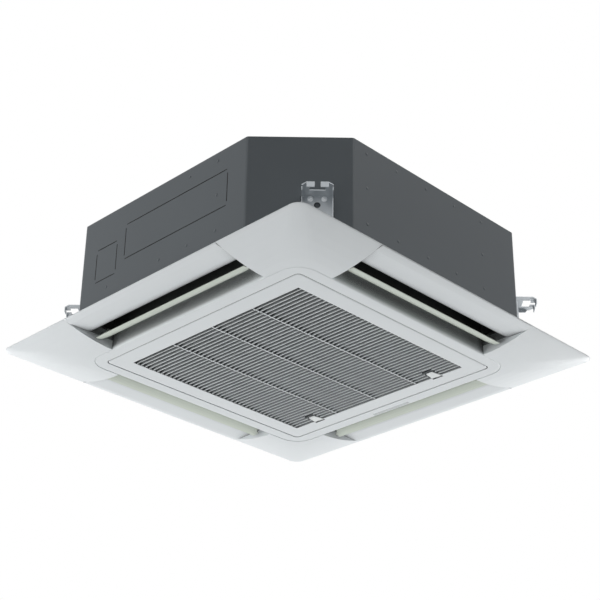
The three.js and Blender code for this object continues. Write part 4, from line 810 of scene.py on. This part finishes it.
@dataclass
class PipeEnds:
    """Flare nuts and plate screws where the pipes leave the casing."""

    gas: tuple[float, float, float] = (62 * MM, 190.5 * MM, 15 * MM)
    liquid: tuple[float, float, float] = (30 * MM, 234 * MM, 10 * MM)
    nut_start: float = 22 * MM
    nut_length: float = 17 * MM
    plate_inset: float = 6 * MM
    plate_face: float = 1.3 * MM

    def _place(self, along: float, out: float) -> np.ndarray:
        """Plan point on the left rear chamfer: out from it and along it."""
        outward = np.array([-DIAGONAL, DIAGONAL])
        onward = np.array([DIAGONAL, DIAGONAL])
        return outward * (CHAMFER_REACH + out) + onward * along

    def plate_screws(self, bench: Bench) -> None:
        """Four pan-head screws in the corners of the plate over the pipes."""
        low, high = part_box("pipe_cover_plate")
        reach = (high.x - low.x) * DIAGONAL - self.plate_inset
        middle = np.array([low.x + high.x, low.y + high.y]) / 2
        along = float(middle.sum()) * DIAGONAL
        seats = []
        for side in (-1, 1):
            for height in (low.z + self.plate_inset, high.z - self.plate_inset):
                point = self._place(along + side * reach, self.plate_face)
                seats.append(Seat((*point, height), (-DIAGONAL, DIAGONAL, 0), (0, 0, 1)))
        bench.add("pipe_plate_screws", pan_head(3.4 * MM, 1.8 * MM).placed(seats), "screw_zinc",
                  slot="bright_steel", smooth=True)

    def nuts(self, bench: Bench) -> None:
        """Brass flare nuts, six-sided with turned ends, at a place along, a height, a radius."""
        length = self.nut_length
        for name, (along, height, radius) in (("gas", self.gas), ("liquid", self.liquid)):
            nut = turned([
                (0, 0), (radius * 0.7, 0), (radius * 0.8, length * 0.06), (radius, length * 0.2),
                (radius, length * 0.84), (radius * 0.86, length * 0.93),
                (radius * 0.72, length), (0, length)], steps=24, sides=6, flat_rings=(2, 3))
            point = (*self._place(along, self.nut_start), height)
            seat = Seat(point, (-DIAGONAL, DIAGONAL, 0), (0, 0, 1))
            bench.add(f"{name}_flare_nut", nut.placed([seat]), "nut_brass", slot="pipe_copper")


@dataclass
class FrontPanel:
    """Small pieces of the panel: lamps, latch ridges and the filter's net."""

    latch_offset: float = 187 * MM
    ridge_pitch: float = 2.4 * MM
    ridge_start: float = 5 * MM
    ridge_length: float = 13 * MM
    ridge_height: float = 0.16 * MM
    ridge_count: int = 5
    net_inset: float = 12.5 * MM
    net_rise: float = 0.7 * MM
    net_sag: float = 0.25 * MM
    net_thickness: float = 0.25 * MM
    net_columns: int = 81
    net_rows: int = 9
    lamp_ends: tuple[float, float] = (12 * MM, 48 * MM)
    lamp_count: int = 4

    def lamps(self, bench: Bench) -> None:
        """Flush lamp lenses and the receiver's eye in the window beside the latches."""
        low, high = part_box("receiver_window")
        middle = (low.y + high.y) / 2
        lens = turned([(0, 0), (1.6 * MM, 0), (1.5 * MM, 0.05 * MM), (0.9 * MM, 0.08 * MM),
                       (0, 0.09 * MM)], steps=16)
        first, last = self.lamp_ends
        spots = np.linspace(low.x + first, low.x + last, self.lamp_count)
        seats = [Seat((x, middle, low.z), (0, 0, -1), (1, 0, 0)) for x in spots]
        bench.add("receiver_lamps", lens.placed(seats), "lamp_lens", slot="receiver_plastic",
                  smooth=True)

    def ridges(self, bench: Bench) -> None:
        """Low grip ridges across each latch's finger tab."""
        ridge = capsule(self.ridge_length, self.ridge_pitch * 0.5, self.ridge_height)
        for side, name in ((-1, "left"), (1, "right")):
            low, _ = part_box(f"grille_latch_{name}")
            seats = [Seat((side * self.latch_offset, low.y + self.ridge_start
                           + k * self.ridge_pitch, low.z), (0, 0, -1), (1, 0, 0))
                     for k in range(self.ridge_count)]
            bench.add(f"latch_ridges_{name}", ridge.placed(seats), "latch_plastic",
                      body=f"latch_{name}", slot="latch_plastic", smooth=True)

    def net(self, bench: Bench) -> None:
        """The filter's woven net, sagging between its ribs: z = -s |sin(5 pi x / w)|."""
        low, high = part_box("air_filter")
        half = (high.x - low.x) / 2 - self.net_inset
        x, y = np.meshgrid(np.linspace(-half, half, self.net_columns),
                           np.linspace(-half, half, self.net_rows))
        level = (low.z + high.z) / 2 + self.net_rise
        z = level - self.net_sag * np.abs(np.sin(2.5 * math.pi * (x / half + 1)))
        bench.add("filter_net", sheet(np.stack([x, y, z], axis=2)), "filter_net", body="filter",
                  slot="filter_plastic", smooth=True, thickness=self.net_thickness)


@dataclass
class ControlBox:
    """Screws on the cover of the control box, seen with the grille open."""

    inset: float = 6 * MM

    def screws(self, bench: Bench) -> None:
        """Six pan-head screws on the underside of the cover."""
        low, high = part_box("control_box_cover")
        rows = (low.y + self.inset, high.y - self.inset)
        columns = (low.x + self.inset, 0.0, high.x - self.inset)
        seats = [Seat((x, y, low.z), (0, 0, -1), (1, 0, 0)) for x in columns for y in rows]
        bench.add("control_cover_screws", pan_head(3.4 * MM, 1.5 * MM).placed(seats),
                  "screw_zinc", slot="bright_steel", smooth=True)


# ------------------------------------------------------------------------ studio


LAMPS = {
    "front": ((0.0, -3.6, -1.0), 2.2, 20),
    "left": ((-2.55, -2.55, -1.0), 2.2, 65),
    "far_left": ((-3.6, 0.0, -1.0), 2.2, 40),
    "rear": ((0.0, 3.6, -1.0), 2.2, 80),
    "right": ((2.55, 2.55, -1.0), 2.2, 20),
    "below": ((-0.6, 0.6, -3.6), 2.0, 22),
    "high_front": ((0.0, -3.2, 1.8), 1.6, 10),
    "high_right": ((3.2, 0.0, 1.8), 1.6, 20),
    "top": ((0.5, 0.8, 3.4), 3.0, 70),
}


@dataclass
class Studio:
    """Camera, lamps, world and floor."""

    azimuth: float = 45.046
    elevation: float = -27.646
    roll: float = 0.817
    place: tuple[float, float, float] = (2.092, -2.084, -1.381)
    lens: float = 86.64
    floor_level: float = -4.2
    floor_half: float = 9.0
    floor_glow: float = 0.82
    floor_colour: tuple[int, int, int] = (214, 214, 214)
    ambient: float = 0.10

    def camera(self) -> None:
        """The camera at the photograph's angle: right, up and back turned by the roll."""
        azimuth, elevation = math.radians(self.azimuth), math.radians(self.elevation)
        back = np.array([math.sin(azimuth) * math.cos(elevation),
                         -math.cos(azimuth) * math.cos(elevation), math.sin(elevation)])
        right = np.cross(-back, (0, 0, 1))
        right /= np.linalg.norm(right)
        up = np.cross(right, -back)
        roll = math.radians(self.roll)
        turned_right = math.cos(roll) * right + math.sin(roll) * up
        turned_up = -math.sin(roll) * right + math.cos(roll) * up
        matrix = Matrix.Identity(4)
        for column, axis in enumerate((turned_right, turned_up, back)):
            for row in range(3):
                matrix[row][column] = axis[row]
        data = bpy.data.cameras.new("camera")
        data.lens = self.lens
        data.sensor_width = 36
        data.clip_end = 100
        camera = bpy.data.objects.new("camera", data)
        camera.matrix_world = Matrix.Translation(self.place) @ matrix
        bpy.context.scene.collection.objects.link(camera)
        bpy.context.scene.camera = camera

    def lamp(self, name: str, place: Sequence[float], size: float, power: float) -> None:
        """A square area lamp that faces the middle of the part."""
        data = bpy.data.lights.new(name, "AREA")
        data.size = size
        data.energy = power
        lamp = bpy.data.objects.new(name, data)
        lamp.rotation_mode = "QUATERNION"
        lamp.rotation_quaternion = (Vector(place) - Vector(LIT_POINT)).to_track_quat("Z", "Y")
        lamp.location = place
        bpy.context.scene.collection.objects.link(lamp)

    @staticmethod
    def seen(graph: Graph) -> bpy.types.NodeSocket:
        """One for rays of the camera, of gloss and through glass, nought for light."""
        path = graph.node("ShaderNodeLightPath").outputs
        direct = graph.math("MAXIMUM", path["Is Camera Ray"], path["Is Glossy Ray"])
        return graph.math("MAXIMUM", direct, path["Is Transmission Ray"])

    def world(self) -> None:
        """A white world to the eye and in reflections, and a soft grey one as a light."""
        world = bpy.data.worlds.new("studio")
        bpy.context.scene.world = world
        world.use_nodes = True
        graph = Graph(world.node_tree)
        dim = (self.ambient, self.ambient, self.ambient * 1.02, 1.0)
        shade = graph.mix(self.seen(graph), dim, (1.0, 1.0, 1.0, 1.0))
        graph.link(shade, world.node_tree.nodes["Background"].inputs["Color"])

    def floor(self) -> None:
        """A plain pale floor well below the part, white to the eye but for its shadow."""
        half, level = self.floor_half, self.floor_level
        mesh = bpy.data.meshes.new("floor")
        mesh.from_pydata([(-half, -half, level), (half, -half, level), (half, half, level),
                          (-half, half, level)], [], [(0, 1, 2, 3)])
        material = bpy.data.materials.new("floor")
        material.use_nodes = True
        shader = material.node_tree.nodes["Principled BSDF"]
        shader.inputs["Base Color"].default_value = linear(self.floor_colour)
        shader.inputs["Roughness"].default_value = 0.9
        shader.inputs["Emission Color"].default_value = (1.0, 1.0, 1.0, 1.0)
        graph = Graph(material.node_tree)
        glow = graph.math("MULTIPLY", self.seen(graph), self.floor_glow)
        graph.link(glow, shader.inputs["Emission Strength"])
        mesh.materials.append(material)
        floor = bpy.data.objects.new("floor", mesh)
        bpy.context.scene.collection.objects.link(floor)

    def build(self) -> None:
        """Camera, lamps, world and floor in order."""
        self.camera()
        for name, (place, size, power) in LAMPS.items():
            self.lamp(name, place, size, power)
        self.world()
        self.floor()
        settings = bpy.context.scene.view_settings
        settings.view_transform = "Standard"


def main() -> None:
    """Loads the frame, dresses its nodes and builds every small piece."""
    logging.basicConfig(level=logging.INFO, format="%(name)s: %(message)s")
    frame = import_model()
    shop = FinishShop(GroupKit(), FINISHES)
    LOG.info("%d CAD nodes dressed", shop.dress_nodes(frame["nodes"]))
    bench = Bench(shop)
    casing = Casing()
    casing.dimples(bench)
    casing.top_fasteners(bench)
    Hangers().screws(bench)
    pipes = PipeEnds()
    pipes.nuts(bench)
    pipes.plate_screws(bench)
    panel = FrontPanel()
    panel.lamps(bench)
    panel.ridges(bench)
    panel.net(bench)
    ControlBox().screws(bench)
    Studio().build()
    LOG.info("%d pieces made", len(bench.made))


if __name__ == "__main__":
    main()
